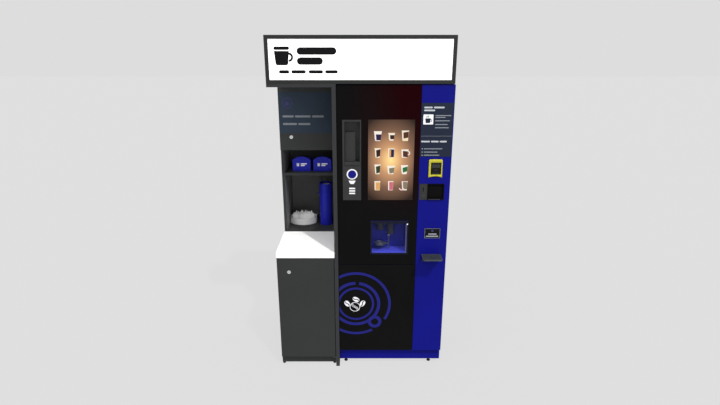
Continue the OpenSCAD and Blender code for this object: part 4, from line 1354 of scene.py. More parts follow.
repeated("boiler_straps", strap, [("row", (boiler_x, boiler_y, boiler_low.z + 40), (0, 0, 88), 3)],
         brass, "kiosk", "steel")
unions = Kit()
for side in (-25, 25):
    at = (boiler_x + side, boiler_y, boiler_high.z - 22)
    unions.turned(at, 2, [(12.0, 0.0), (13.0, 1.0), (13.0, 11.0), (12.0, 12.0)], brass, 6, smooth=False)
    unions.turned(at, 2, [(9.0, 11.5), (9.6, 12.0), (9.6, 17.0), (8.6, 19.0)], brass, 24)
unions.turned(
    (boiler_x, boiler_y - 54.5, boiler_low.z + 200), 1, [(9, -4.0), (10, -3.0), (10, 0.0)], black_moulding, 20
)
unions.piece("boiler_unions", "kiosk", "brass")

box_low, box_high = low("control_box"), high("control_box")
panel = Kit()
for i in range(3):
    z = box_low.z + 70 + i * 60
    panel.box((box_low.x + 26, box_low.x + 60), (box_low.y - 3, box_low.y), (z, z + 22), black_moulding, 0.8)
    panel.turned(
        (box_low.x + 43, box_low.y - 3, z + 11), 1, [(4, -1.5), (4.6, -1.0), (4.6, 0.0)], tiny_green, 16
    )
panel.box(
    (box_low.x + 80, box_high.x - 30), (box_low.y - 1.2, box_low.y), (box_low.z + 60, box_low.z + 200),
    blue_vinyl, 0.4
)
panel.piece("control_panel", "kiosk", "black_plastic")
repeated(
    "control_slots",
    lambda kit: kit.slab(pill((-45, 45), (-2, 2)), 1, -0.4, 0.0, black_moulding),
    [("row", ((box_low.x + box_high.x) / 2, box_low.y, box_high.z - 120), (0, 0, 9), 9)], black_moulding,
    "kiosk", "steel",
)
repeated(
    "deck_screws", screw(2, 1, 3.5, 1.6),
    [("row", (low("equipment_deck").x + 12, low("equipment_deck").y + 12, low("boiler").z), (92, 0, 0), 7)],
    chrome, "kiosk", "steel",
)


# %% Grinder, hopper and brew unit
shaped("grinder", 1.5, black_moulding, segments=3)
shaped("brew_unit", 1.2, black_moulding)
grind_low, grind_high = low("grinder"), high("grinder")
grind_x, grind_y = (grind_low.x + grind_high.x) / 2, (grind_low.y + grind_high.y) / 2
repeated(
    "grinder_fins",
    lambda kit: kit.box((-1.2, 1.2), (-49.5, 49.5), (0, 54), steel_upright),
    [("ring", (grind_x, grind_y, grind_high.z - 68), (0, 0, 1), 30)], black_moulding, "kiosk",
    "black_plastic",
)
collar = Kit()
collar.turned((grind_x, grind_y, grind_high.z - 92), 2, [
    (40, 0), (44, 1), (44, 3), (43, 4), (43, 6), (44, 7), (44, 12), (42, 13)], steel_upright, 48)
collar.box(
    (grind_x - 18, grind_x + 18), (grind_low.y - 1.2, grind_low.y), (grind_low.z + 20, grind_low.z + 70),
    steel_across
)
collar.piece("grinder_collar", "kiosk", "steel")

brew_low, brew_high = low("brew_unit"), high("brew_unit")
brew = Kit()
for x in (brew_low.x + 8, brew_high.x - 16):
    brew.box(
        (x, x + 8), (brew_low.y + 36, brew_high.y - 6), (brew_low.z + 60, brew_high.z - 4), steel_upright, 0.8
    )
for z in (brew_low.z + 84, brew_low.z + 150, brew_low.z + 206):
    brew.turned(
        (grind_x, grind_y, z), 2, [(45.2, 0), (47.6, 1), (48, 4), (47.6, 7), (45.2, 8)], steel_upright, 40
    )
brew.turned(
    (grind_x, brew_low.y, brew_low.z + 30), 1, [(12.2, -0.5), (14.5, 0.5), (14.5, 9), (12.2, 10)], chrome, 32
)
brew.box(
    (brew_low.x + 50, brew_high.x - 50), (brew_low.y + 27, brew_low.y + 30.5),
    (brew_low.z + 8, brew_low.z + 16), chrome
)
brew.piece("brew_fittings", "kiosk", "steel")

# %% [markdown]
# The hopper is smoked plastic with beans in it. The beans are scattered over a core that fills the lower
# part of the hopper, with a fixed seed, so the pile looks loose but stays the same every time the notebook
# runs.

# %% Bean finish and one low-count bean
bean_brown = finish(
    "roasted_bean", (0.055, 0.022, 0.010), rough=(0.32, 0.48), tone=0.3, cloud=160.0, grain_scale=1500
)
hopper_low, hopper_high = low("bean_hopper"), high("bean_hopper")


def bean(kit):
    """A coffee bean: a squashed egg with a crease along its flat side."""
    rings = [(0.0, -5.6), (2.4, -4.6), (3.7, -2.6), (4.1, 0.0), (3.7, 2.6), (2.4, 4.6), (0.0, 5.6)]
    steps, points, faces = 10, [], []
    for radius, along in rings:
        for i in range(steps):
            angle = 2 * math.pi * i / steps
            lift = math.sin(angle)
            flat = 0.25 if lift < 0 else 0.8
            crease = 0.7 if i == 7 or i == 8 else 0.0
            wide = max(radius, 0.02)
            points.append((wide * math.cos(angle), along, wide * lift * flat + crease * radius / 4))
    for ring in range(len(rings) - 1):
        for i in range(steps):
            j = (i + 1) % steps
            faces.append((ring * steps + i, (ring + 1) * steps + i, (ring + 1) * steps + j, ring * steps + j))
    faces += [tuple(range(steps)), tuple(reversed(range((len(rings) - 1) * steps, len(rings) * steps)))]
    kit.add(points, faces, bean_brown, smooth=True)


# %% The pile's core, just inside the hopper's walls
pile = Kit()
neck_x, neck_y = (hopper_low.x + 69, hopper_low.x + 139), (hopper_low.y + 89, hopper_low.y + 159)
levels = [
    (hopper_low.z + 6, neck_x[0] + 8, neck_x[1] - 8, neck_y[0] + 8, neck_y[1] - 8),
    (hopper_low.z + 111, hopper_low.x + 13, hopper_high.x - 13, hopper_low.y + 13, hopper_high.y - 13),
    (hopper_low.z + 176, hopper_low.x + 12, hopper_high.x - 12, hopper_low.y + 12, hopper_high.y - 12),
    (hopper_low.z + 192, hopper_low.x + 52, hopper_high.x - 60, hopper_low.y + 60, hopper_high.y - 70),
]
corners = []
for z, x0, x1, y0, y1 in levels:
    corners += [(x0, y0, z), (x1, y0, z), (x1, y1, z), (x0, y1, z)]
sides = [
    (r + i, r + (i + 1) % 4, r + 4 + (i + 1) % 4, r + 4 + i) for r in (0, 4, 8) for i in range(4)
]
pile.add(corners, sides + [(3, 2, 1, 0), (12, 13, 14, 15)], bean_brown)
core = bpy.data.meshes.new("core")
core.from_pydata([tuple(v * MM for v in p) for p in pile.points], [], pile.faces)

# %% Scatter tree
scatter, scatter_sockets, given, end = open_tree("scatter_over_surface", [
    ("Part", "NodeSocketObject"), ("Spacing", FLOAT), ("Seed", "NodeSocketInt"),
    ("Finish", "NodeSocketMaterial")])
spread = scatter.nodes.new("GeometryNodeDistributePointsOnFaces")
spread.distribute_method = "POISSON"
spread.inputs["Density Max"].default_value = 20000.0
fetch = scatter.nodes.new("GeometryNodeObjectInfo")
tumble = scatter.nodes.new("FunctionNodeRandomValue")
tumble.data_type = "FLOAT_VECTOR"
tumble.inputs["Max"].default_value = (math.tau, math.tau, math.tau)
set_down = scatter.nodes.new("GeometryNodeInstanceOnPoints")
keep = scatter.nodes.new("GeometryNodeJoinGeometry")
for a, b in (
    (given["Geometry"], spread.inputs["Mesh"]), (given["Spacing"], spread.inputs["Distance Min"]),
    (given["Seed"], spread.inputs["Seed"]), (given["Seed"], tumble.inputs["Seed"]),
    (given["Part"], fetch.inputs["Object"]), (spread.outputs["Points"], set_down.inputs["Points"]),
    (fetch.outputs["Geometry"], set_down.inputs["Instance"]),
    (tumble.outputs["Value"], set_down.inputs["Rotation"]), (set_down.outputs[0], keep.inputs[0]),
    (given["Geometry"], keep.inputs[0]),
):
    scatter.links.new(a, b)
close_tree(scatter, keep.outputs[0], given["Finish"], end)
one_bean = bpy.data.objects.new("one_bean", part_mesh(bean))
beans = grown(
    core, scatter, scatter_sockets, {"Part": one_bean, "Spacing": 6.6 * MM, "Seed": 4, "Finish": bean_brown}
)
bpy.data.objects.remove(one_bean)
as_piece(beans, "hopper_beans", "kiosk", "smoke_clear")
print("beans mesh faces:", len(beans.polygons))
shaped("bean_hopper", 1.5, smoked_clear, black_moulding,
       pick=lambda centre, normal: 1 if centre.z > hopper_high.z - 8.5 else 0)

# %% Canisters, bowls, bucket, inlet
canister_low, canister_high = low("powder_canisters"), high("powder_canisters")
lid_depth, auger_depth = 12.5, 27.5


def on_canister(centre, normal):
    """Black for the lid and the auger's housing, milky for the body."""
    return 1 if centre.z > canister_high.z - lid_depth or centre.y < canister_low.y + auger_depth else 0


shaped("powder_canisters", 2.0, milky_clear, black_moulding, segments=3, pick=on_canister)
shaped("mixing_bowls", 1.5, black_moulding)
shaped("waste_bucket", 1.4, black_moulding)
shaped("water_inlet", 0.6, brass)
pitch = (canister_high.x - canister_low.x - 78) / 3


def canister_trim(kit):
    """What a canister carries: a lid knob, a level window and the auger's wing nut."""
    kit.turned(
        (0, 115, 1.0), 2, [(15, 0), (16, 1), (14, 6), (16, 10), (15, 12), (6, 12.8)], black_moulding, 28
    )
    kit.slab(pill((-7, 7), (-180, -40), 7), 1, -1.0, 0.0, black_moulding)
    kit.turned((0, -30.5, -232), 1, [(9, -3.0), (13, -2.4), (13.5, 0.5), (9, 2.5)], black_moulding, 24)
    kit.box((-16, 16), (-34.0, -31), (-235, -229), black_moulding, 0.8)


repeated(
    "canister_trim", canister_trim,
    [("row", (canister_low.x + 39, low("powder_canisters").y + 30, canister_high.z), (pitch, 0, 0), 4)],
    black_moulding, "kiosk", "canister",
)


def bowl_trim(kit):
    """Rim, whisk collar and outlet of one mixing bowl."""
    kit.turned(
        (0, 0, 100), 2, [(31.0, 0), (34.4, 0.8), (35.0, 3), (34.4, 5.4), (31.0, 6)], white_moulding, 36
    )
    kit.turned((0, 0, 30), 2, [(32.1, 0), (33.4, 1), (33.4, 5), (32.1, 6)], white_moulding, 36)
    kit.turned(
        (0, -32.0, 16), 1, [(7, -12), (8.4, -11), (8.4, -4), (10.5, -3), (10.5, 1)], white_moulding, 24
    )


bowl_low = low("mixing_bowls")
repeated(
    "bowl_trim", bowl_trim,
    [("row", (canister_low.x + 39, low("powder_canisters").y + 88, bowl_low.z + 40), (pitch, 0, 0), 4)],
    white_moulding, "kiosk", "canister",
)
bucket_low, bucket_high = low("waste_bucket"), high("waste_bucket")
repeated(
    "bucket_ribs",
    lambda kit: kit.slab([(-3, -1.5), (3, -1.5), (1.8, 0), (-1.8, 0)][::-1], 2, 0, 260, black_moulding, 1.0),
    [("row", (bucket_low.x + 32, bucket_low.y, bucket_low.z + 20), (32, 0, 0), 9)],
    black_moulding, "kiosk", "black_plastic",
)
rim = Kit()
rim_x, rim_y = (bucket_low.x - 3, bucket_high.x + 3), (bucket_low.y - 3, bucket_high.y + 3)
for a, b in (
    ((rim_x[0], rim_x[1]), (rim_y[0], rim_y[0] + 7)), ((rim_x[0], rim_x[1]), (rim_y[1] - 7, rim_y[1])),
    ((rim_x[0], rim_x[0] + 7), (rim_y[0] + 6, rim_y[1] - 6)),
    ((rim_x[1] - 7, rim_x[1]), (rim_y[0] + 6, rim_y[1] - 6)),
):
    rim.box(a, b, (bucket_high.z - 6, bucket_high.z + 1), black_moulding, 1.2)
middle = (bucket_low.x + bucket_high.x) / 2
grip = ring_band((middle, bucket_high.z - 30), 52, 45, (200, 200), (340, 340), 24)
rim.slab(grip, 1, bucket_low.y - 6, bucket_low.y - 1, steel_upright, 0.8)
rim.piece("bucket_rim", "kiosk", "black_plastic")
inlet_low, inlet_high = low("water_inlet"), high("water_inlet")
inlet_mid = ((inlet_low.x + inlet_high.x) / 2, (inlet_low.z + inlet_high.z) / 2)
repeated(
    "inlet_thread",
    lambda kit: kit.turned((0, 0, 0), 1, [(12.4, 0), (13.15, 0.5), (13.15, 0.9), (12.4, 1.4)], brass, 32),
    [("row", (inlet_mid[0], inlet_high.y - 15.6, inlet_mid[1]), (0, 1.8, 0), 8)], brass, "kiosk", "brass",
)

# %% [markdown]
# The turret holds five stacks of paper cups on a turning plate. Nested cups show only their rims, so each
# stack is a row of rims. The plate is scalloped moulding with a clamp ring round every stack.

# %% Cup turret
turret_low, turret_high = low("cup_turret"), high("cup_turret")
hub_x, hub_y = (turret_low.x + turret_high.x) / 2, (turret_low.y + turret_high.y) / 2
stack_r, ring_r, stack_count = 42.0, 74.0, 5
turns = [math.radians(90 + i * 360 / stack_count) for i in range(stack_count)]
stacks = [(hub_x + ring_r * math.cos(angle), hub_y + ring_r * math.sin(angle)) for angle in turns]
repeated(
    "turret_cups", paper_cup_rim(stack_r - 1.0),
    [("row", (x, y, turret_low.z + 12), (0, 0, 9.6), 40) for x, y in stacks], card, "turret", "paper",
    ("cup_turret",),
)
plate = Kit()
plate.turned((hub_x, hub_y, turret_low.z), 2, [
    (8.1, 0), (113, 0), (118, 1), (120, 3), (120, 5.5), (118, 8), (22, 8), (20, 10), (19, 32), (18, 34),
    (9, 34), (8.1, 33), (8.1, 0.1)
], milky_clear, 80)
for x, y in stacks:
    plate.turned(
        (x, y, turret_low.z + 8), 2, [(41.9, 0), (44, 0), (44, 9), (43.4, 10), (42.4, 10), (41.9, 9)],
        blue_moulding, 40
    )
plate.piece("turret_plate", "turret", "canister")
rod_at, rod_turn = 100, math.radians(54)
repeated(
    "turret_rods",
    lambda kit: kit.turned(
        (rod_at * math.cos(rod_turn), rod_at * math.sin(rod_turn), 0), 2,
        [(2.6, 0), (3, 0.4), (3, 372), (2.2, 374), (0.1, 375)], steel_upright, 14,
    ),
    [("ring", (hub_x, hub_y, turret_low.z + 8), (0, 0, 1), 5)], steel_upright, "turret", "steel",
)

# %% [markdown]
# ## The machine's door
# The door is a welded blue frame with three skins: black glass above, a black panel below and a blue
# payment column. Inside its edge runs a soft gasket, which steps outwards round the coin cup. The black
# glass is back-painted, so it is one smooth sheet with eased edges.

# %% Frame, skins and gasket
shaped("door_frame", 0.8, blue_enamel)
shaped("glass_fascia", 0.4, fascia_glass)
shaped("lower_panel", 0.5, black_gloss)
shaped("column_panel", 0.5, blue_enamel)
frame_low, frame_high = low("door_frame"), high("door_frame")
gasket = Kit()
edge_x, edge_z = (frame_low.x + 6, frame_high.x - 40), (frame_low.z + 5, frame_high.z - 5)
past_cup, cup_span = high("coin_cup").x + 3, (low("coin_cup").z - 10, high("coin_cup").z + 10)
for x, z in (
    ((edge_x[0], edge_x[0] + 8), edge_z),
    ((edge_x[1] - 8, edge_x[1]), (edge_z[0], cup_span[0])),
    ((edge_x[1] - 8, edge_x[1]), (cup_span[1], edge_z[1])),
    ((edge_x[1] - 8, past_cup + 8), (cup_span[0] - 4, cup_span[0] + 4)), ((past_cup, past_cup + 8), cup_span),
    ((edge_x[1] - 8, past_cup + 8), (cup_span[1] - 4, cup_span[1] + 4)),
    ((edge_x[0] + 7, edge_x[1] - 7), (edge_z[0], edge_z[0] + 8)),
    ((edge_x[0] + 7, edge_x[1] - 7), (edge_z[1] - 8, edge_z[1])),
):
    gasket.box(x, (frame_high.y - 0.2, frame_high.y + 2.6), z, rubber, 0.9)
gasket.piece("door_gasket", "front_door", "rubber")
repeated(
    "frame_screws", screw(1, 1, 4.0, 1.6),
    [("row", (frame_low.x + 19, frame_high.y, frame_low.z + 60), (0, 0, 196), 9),
     ("row", (low("column_panel").x, frame_high.y, frame_low.z + 60), (0, 0, 320), 5)],
    chrome, "front_door", "steel",
)

# %% [markdown]
# On the lower panel three blue rings and a small loop draw a cup on its saucer from above. Four beans lie
# in the middle: three solid ones, each split by its crease, and one drawn in outline. The rings run off the
# panel's left edge, so their bands end on that edge. The whole drawing is vinyl, 0.3 mm thick.

# %% Rings of the saucer, cut off at the panel's edge
vinyl = Kit()
panel_low = low("lower_panel")
cup_at = (panel_low.x + 106, panel_low.z + 342)


def cut_angle(radius):
    """Angle at which a circle round the cup's middle meets the panel's left edge."""
    share = (panel_low.x + 0.6 - cup_at[0]) / radius
    return math.degrees(math.acos(share)) if share > -1 else 180.0


def saucer_arc(outer, inner, start, end):
    """One band of a ring. A start or end of None runs to the panel's edge."""
    first = (-cut_angle(outer), -cut_angle(inner)) if start is None else (start, start)
    last = (cut_angle(outer), cut_angle(inner)) if end is None else (end, end)
    laid(vinyl, ring_band(cup_at, outer, inner, first, last, 60), panel_low.y, blue_vinyl)


wide_ring, mid_ring, small_ring = (222, 205), (155, 135), (116, 102)
saucer_arc(*wide_ring, -31, None)
saucer_arc(*wide_ring, None, -61)
saucer_arc(*mid_ring, None, 82)
saucer_arc(*mid_ring, 91, None)
saucer_arc(*small_ring, None, None)
handle_at = (cup_at[0] + 120, cup_at[1] - 128)
laid_ring(vinyl, handle_at, 44, 23, panel_low.y, blue_vinyl, rise=0.32)


# %% Beans: two halves with an S-shaped crease between them
def bean_half(centre, length, width, turn, side):
    """Half of a bean seen from above, on one side of its crease."""
    outline = []
    for i in range(17):
        angle = math.pi * i / 16
        outline.append((math.cos(angle) * length / 2, math.sin(angle) * width / 2 * side))
    for i in range(1, 12):
        along = -0.5 + i / 12
        wave = math.sin(along * 2 * math.pi) * width * 0.13
        outline.append((along * length * 0.94, wave + side * width * 0.105))
    cos, sin = math.cos(math.radians(turn)), math.sin(math.radians(turn))
    return [(centre[0] + a * cos - b * sin, centre[1] + a * sin + b * cos) for a, b in outline]


bean_white = finish("bean_white_vinyl", (0.74, 0.73, 0.76), rough=(0.4, 0.5), tone=0.02, cloud=60.0)
for dx, dz, turn in ((-55, 2, -54), (1, 32, -32), (42, 3, 58)):
    for side in (1, -1):
        laid(vinyl, bean_half((cup_at[0] + dx, cup_at[1] + dz), 46, 31, turn, side), panel_low.y, bean_white)
laid_ring(vinyl, (cup_at[0] - 6, cup_at[1] - 21), 33, 29.5, panel_low.y, bean_white, rise=0.34)
for shift in (-5.5, 0, 5.5):
    stripe, back_stripe = [], []
    for i in range(13):
        along = -1 + i / 6
        bend = 3.2 * math.sin(along * math.pi)
        reach_now = math.sqrt(max(0.0, 29 ** 2 - (shift + bend) ** 2)) * along
        ux, uz = math.cos(math.radians(-48)), math.sin(math.radians(-48))
        for store, offset in ((stripe, 1.0), (back_stripe, -1.0)):
            across = shift + bend + offset
            store.append(
                (cup_at[0] - 6 + ux * reach_now - uz * across, cup_at[1] - 21 + uz * reach_now + ux * across)
            )
    laid(vinyl, stripe + back_stripe[::-1], panel_low.y, bean_white)
vinyl.piece("saucer_drawing", "front_door", "blue_plastic")

# %% [markdown]
# ## Touch screen
# The screen shows a warm pool of light with twelve drinks in three columns. Each drink is built up from
# flat layers as a sign painter would: the vessel, its rim, what is in it and its handle. The layers are 0.1
# mm apart, so they look like a picture under the glass but survive the export as geometry.

# %% Screen and its light
glass_depth = 6.5
shaped(
    "touch_screen", 0.5, screen_glow, black_moulding,
    pick=lambda centre, normal: 0 if centre.y < screen_low.y + glass_depth else 1,
)
lit = {
    "milk": (0.98, 0.90, 0.80), "cream": (0.95, 0.80, 0.55), "cocoa": (0.090, 0.028, 0.016),
    "coffee": (0.035, 0.014, 0.008), "plum": (0.022, 0.012, 0.070), "navy": (0.015, 0.015, 0.080),
    "amber": (0.78, 0.40, 0.140), "moss": (0.030, 0.055, 0.018), "leaf": (0.015, 0.16, 0.050),
    "stone": (0.24, 0.21, 0.14), "rose": (0.66, 0.15, 0.22), "blush": (0.95, 0.62, 0.62),
}
inks = {name: glowing("lit_" + name, color, 0.95, base=(0.006, 0.006, 0.006)) for name, color in lit.items()}
menu = Kit()


def layer(kit, outline, ink, depth):
    laid(kit, outline, screen_low.y, inks[ink], rise=0.1 * depth)


def tilted_band(x, z, width, height, taper, low_share, high_share, tilt=0.0):
    """A band across a tapered vessel, between two shares of its height."""
    points = []
    for share, side in ((low_share, -1), (low_share, 1), (high_share, 1), (high_share, -1)):
        share = min(0.97, max(0.03, share + tilt * side))
        half = width / 2 * (1 - taper * (1 - share)) * 0.9
        points.append((x + side * half, z + share * height))
    return points


def drink(x, z, width, height, vessel, rim, fill, taper=0.25, band=(0.2, 0.7), tilt=0.0, handle=None, side=1):
    """One drink standing at x with its foot at z."""
    width, height = width * 0.88, height * 0.96
    layer(menu, cup_outline(x, z, width, height, taper, 0.12), vessel, 1)
    if handle:
        at = (x + side * (width / 2 - 2), z + height * 0.55)
        turn = (-90, 90) if side > 0 else (90, 270)
        layer(
            menu, ring_band(at, height * 0.26, height * 0.15, (turn[0],) * 2, (turn[1],) * 2, 16), handle, 1
        )
    layer(
        menu, tilted_band(x + width * 0.09, z, width * 0.86, height, taper, band[0] * 0.6, band[1] + 0.06,
        tilt), fill, 2
    )
    layer(menu, pill((x - width / 2 - 1, x + width / 2 + 1), (z + height - 5, z + height), 2), rim, 2)
    foot, top = z + height * 0.2, z + height * 0.84
    shine = [(x - width * a, b) for a, b in ((0.40, foot), (0.33, foot), (0.39, top), (0.46, top))]
    layer(menu, shine, rim, 3)


column = [screen_middle.x - 77, screen_middle.x + 1, screen_middle.x + 79]
row = [screen_low.z + 353, screen_low.z + 256, screen_low.z + 158, screen_low.z + 60]
drink(column[0], row[0], 50, 58, "milk", "milk", "plum", 0.3, (0.12, 0.62))
drink(column[1], row[0] + 2, 42, 46, "milk", "cream", "coffee", 0.35, (0.30, 0.66))
drink(column[2], row[0], 46, 62, "cream", "milk", "cocoa", 0.2, (0.46, 0.80), 0.05)
drink(column[0], row[1], 40, 58, "milk", "cream", "coffee", 0.3, (0.16, 0.78), 0.06)
drink(column[1], row[1], 40, 56, "milk", "milk", "cocoa", 0.08, (0.08, 0.84))
layer(menu, tilted_band(column[1] + 8, row[1], 16, 56, 0.05, 0.12, 0.84), "navy", 3)
layer(menu, tilted_band(column[1] - 7, row[1], 12, 56, 0.05, 0.12, 0.80), "amber", 3)
drink(column[2], row[1], 46, 50, "milk", "milk", "cocoa", 0.15, (0.12, 0.74), -0.04, handle="milk")
drink(column[0], row[2], 40, 60, "milk", "milk", "moss", 0.3, (0.18, 0.78), 0.06)
drink(column[1], row[2], 52, 54, "milk", "cream", "stone", 0.35, (0.18, 0.66), 0.05)
drink(column[2], row[2], 46, 56, "milk", "milk", "leaf", 0.3, (0.40, 0.72), 0.08)
drink(column[0], row[3], 38, 58, "cream", "milk", "amber", 0.06, (0.08, 0.80))
drink(column[1], row[3], 34, 58, "milk", "milk", "rose", 0.06, (0.06, 0.86))
drink(column[2] + 4, row[3], 40, 58, "milk", "blush", "stone", 0.2, (0.20, 0.86))
layer(menu, ring_band((column[2] - 14, row[3] + 14), 15, 8, (180, 180), (360, 360), 16), "blush", 3)
menu.piece("drinks_menu", "front_door", "screen")

# %% [markdown]
# ## Cup bay and start button
# A grey face plate holds a deep window, from which a cup is taken, and the round start button below it. An
# inner flap stands in the window's lower left, over a lip that is painted paler than the plate to stand in
# for the light on its upward face. A white ring is printed round the button, over a small cup sign and
# three short strokes.

# %% Cup bay
bay_dark = finish(
    "bay_liner", (0.046, 0.046, 0.047), rough=(0.45, 0.6), tone=0.08, cloud=12.0, grain_scale=1000,
    grain_depth=0.6, Specular_IOR_Level=0.2,
)
# A lip paler than the plate: painted light on its upward face.
lip_painted_light = finish(
    "lip_painted_light", (0.13, 0.13, 0.13), rough=(0.4, 0.5), tone=0.05, cloud=30.0, Specular_IOR_Level=0.2
)
cup_low, cup_high = low("cup_bay"), high("cup_bay")
plate_front = cup_low.y + 5
window_x, window_z = (cup_low.x + 11.7, cup_high.x - 7.7), (cup_high.z - 244.7, cup_high.z - 9.7)


def in_window(centre, normal):
    inside = window_x[0] - 1 < centre.x < window_x[1] + 1 and window_z[0] - 1 < centre.z < window_z[1] + 1
    return 1 if centre.y > plate_front + 0.1 and (inside or centre.y > plate_front + 9) else 0


shaped("cup_bay", 0.7, grey_moulding, bay_dark, pick=in_window)
shaped("start_button", 0.9, blue_moulding, segments=3)
button_low, button_high = low("start_button"), high("start_button")
button_x, button_z = (button_low.x + button_high.x) / 2, (button_low.z + button_high.z) / 2
plate_print = Kit()
laid_ring(plate_print, (button_x, button_z), 31.5, 24, plate_front, white_ink, steps=56)
sign_top = button_z - 38
small_cup = [
    (button_x - 9.5, sign_top - 20), (button_x + 9.5, sign_top - 20), (button_x + 21, sign_top),
    (button_x - 21, sign_top),
]
laid(plate_print, small_cup, plate_front, white_ink)
for z in (button_z - 85.5, button_z - 100.5, button_z - 115.5):
    laid(plate_print, pill((button_x - 17.5, button_x + 17.5), (z - 4.2, z + 4.2), 2), plate_front, white_ink)
plate_print.piece("cup_bay_print", "front_door", "white_plastic")
flap = Kit()
flap_x, flap_z = (window_x[0] + 2, window_x[0] + 62), (window_z[0] + 4, window_z[0] + 171)
flap.slab(oblong(flap_x, flap_z), 1, plate_front + 20, plate_front + 24, grey_moulding, 1.0)
flap.box(
    (flap_x[0], flap_x[1]), (plate_front + 14, plate_front + 24), (flap_z[0] - 2, flap_z[0] + 2),
    grey_moulding, 0.8
)
# The lip under the window, in the paler grey: painted light.
flap.box(
    (window_x[0] + 1, window_x[1] - 1), (plate_front - 1.2, plate_front + 6),
    (window_z[0] - 7, window_z[0] - 3), lip_painted_light, 0.8
)
flap.piece("cup_flap", "front_door", "grey_plastic")

# %% [markdown]
# ## Delivery bay
# The cup comes down in a deep blue bay behind a clear door. The bay has a slotted drip grid, a round cup
# rest on a post, two outlets and a small bright stud at its upper right corner.

# %% Bay, door, rest and outlets
bay_blue = finish(
    "bay_blue", (0.010, 0.0125, 0.22), rough=(0.25, 0.38), tone=0.08, cloud=10.0, grain_scale=900,
    grain_depth=0.3, Specular_IOR_Level=0.10,
)
bay_rim = finish(
    "bay_rim", (0.006, 0.007, 0.016), rough=(0.3, 0.42), tone=0.06, cloud=14.0, grain_scale=900,
    grain_depth=0.3, Specular_IOR_Level=0.10,
)
# A much brighter blue than the bay's own, for its floor and the drip grid on it: painted light, standing in
# for the sun on the floor. The grid itself is a real part.
floor_blue_painted_sunlit = finish(
    "floor_blue_painted_sunlit", (0.07, 0.08, 0.60), rough=(0.3, 0.42), tone=0.05, cloud=20.0, Specular_IOR_Level=0.2
)
bay_low, bay_high = low("delivery_bay"), high("delivery_bay")
# Upward faces low in the bay take the brighter blue: painted sunlight on the floor.
shaped("delivery_bay", 0.8, bay_blue, bay_rim, floor_blue_painted_sunlit, pick=lambda centre, normal: (
    1 if centre.y < bay_low.y + 0.4 else 2 if normal.z > 0.9 and centre.z < bay_low.z + 14 else 0))
shaped("delivery_door", 0.6, clear_sheet, frosted_edge,
       pick=lambda centre, normal: 1 if centre.y < low("delivery_door").y + 6.9 else 0)
shaped("cup_stand", 0.8, shelf_grey)
shaped("nozzle_block", 1.2, black_moulding)
inner_x, floor_of_bay = (bay_low.x + 8.7, bay_high.x - 8.7), bay_low.z + 11.7
# The grid's slats share the brighter, painted-sunlit blue.
repeated(
    "drip_grid",
    lambda kit: kit.box((-1.6, 1.6), (-42, 42), (0, 4), floor_blue_painted_sunlit, 0.6),
    [("row", (inner_x[0] + 12, bay_low.y + 54, floor_of_bay), (8.5, 0, 0), 23)], floor_blue_painted_sunlit, "front_door",
    "blue_plastic",
)
fittings = Kit()
stand_low, stand_high = low("cup_stand"), high("cup_stand")
rest_at = (stand_low.x + 33, (stand_low.y + stand_high.y) / 2, floor_of_bay + 44)
for radius in (10, 18, 26):
    fittings.turned((rest_at[0], rest_at[1], rest_at[2] - 0.2), 2, [
        (radius, 0), (radius + 0.4, 0.7), (radius + 2.6, 0.7), (radius + 3, 0), (radius + 2.6, -0.1),
        (radius + 0.4, -0.1)
    ], steel_upright, 40)
fittings.turned(
    (stand_high.x - 4, rest_at[1], floor_of_bay + 90), 2, [(4.2, 0), (6.5, 1), (6.5, 6), (4, 8)],
    steel_upright, 24
)
stud_at = (inner_x[1] + 1.5, bay_low.y, bay_high.z - 21)
fittings.turned(stud_at, 1, [(2.6, -3.0), (4.0, -2.2), (4.4, 0.0)], white_moulding, 20)
for x, r, drop in ((rest_at[0], 27, 55), (rest_at[0] + 65, 25, 82)):
    top = floor_of_bay + 190
    mouth = [(r * 0.5, 0), (r * 0.62, 0.6), (r * 0.8, 5.0), (r * 0.5, 5.2), (r * 0.42, 0.4)]
    fittings.turned((x, rest_at[1], top - drop - 5), 2, mouth, chrome, 32)
fittings.piece("bay_fittings", "front_door", "chrome")

# %% [markdown]
# ## Payment column
# The column carries a dark notice with strokes for its lines, a yellow bezel round the card reader, the
# coin slot, its return button, the coin cup with its flap, a small notice and the cup shelf.

# %% Notices
plates_low, plates_high = low("info_plates"), high("info_plates")
print("notice, mm:", round(plates_high.x - plates_low.x, 1), "wide")
small_notice_top = plates_low.z + 64.5
shaped(
    "info_plates", 0.3, notice_film, black_ink,
    pick=lambda centre, normal: 1 if centre.z < small_notice_top else 0,
)
notice = Kit()
nx, nz, ny = plates_low.x, plates_high.z, plates_low.y
pale_ink = finish("pale_grey_ink", (0.42, 0.44, 0.47), rough=(0.45, 0.6), tone=0.05, cloud=60.0)
for start, stop, drop, ink in (
    (14, 62, 30, pale_ink), (68, 128, 30, pale_ink), (14, 76, 46, pale_ink),
    (4, 54, 222, pale_ink), (60, 104, 222, pale_ink), (110, 150, 222, pale_ink),
):
    laid(notice, pill((nx + start, nx + stop), (nz - drop, nz - drop + 9)), ny, ink)
for start, stop, drop in (
    (79, 168, 73), (79, 136, 83), (79, 162, 102), (79, 150, 123), (79, 158, 141), (22, 128, 262),
    (22, 100, 281), (22, 112, 299),
):
    laid(notice, pill((nx + start, nx + stop), (nz - drop, nz - drop + 5)), ny, soft_ink)
for drop in (262, 281, 299):
    laid(notice, pill((nx + 10, nx + 15), (nz - drop, nz - drop + 5)), ny, pale_ink)
laid(notice, pill((nx + 12, nx + 68), (nz - 120, nz - 64), 4), ny, white_ink)
laid(notice, cup_outline(nx + 38, nz - 112, 30, 26), ny - 0.3, notice_film)
laid(notice, ring_band((nx + 52, nz - 98), 9, 5.5, (-90, -90), (90, 90), 12), ny - 0.3, notice_film)
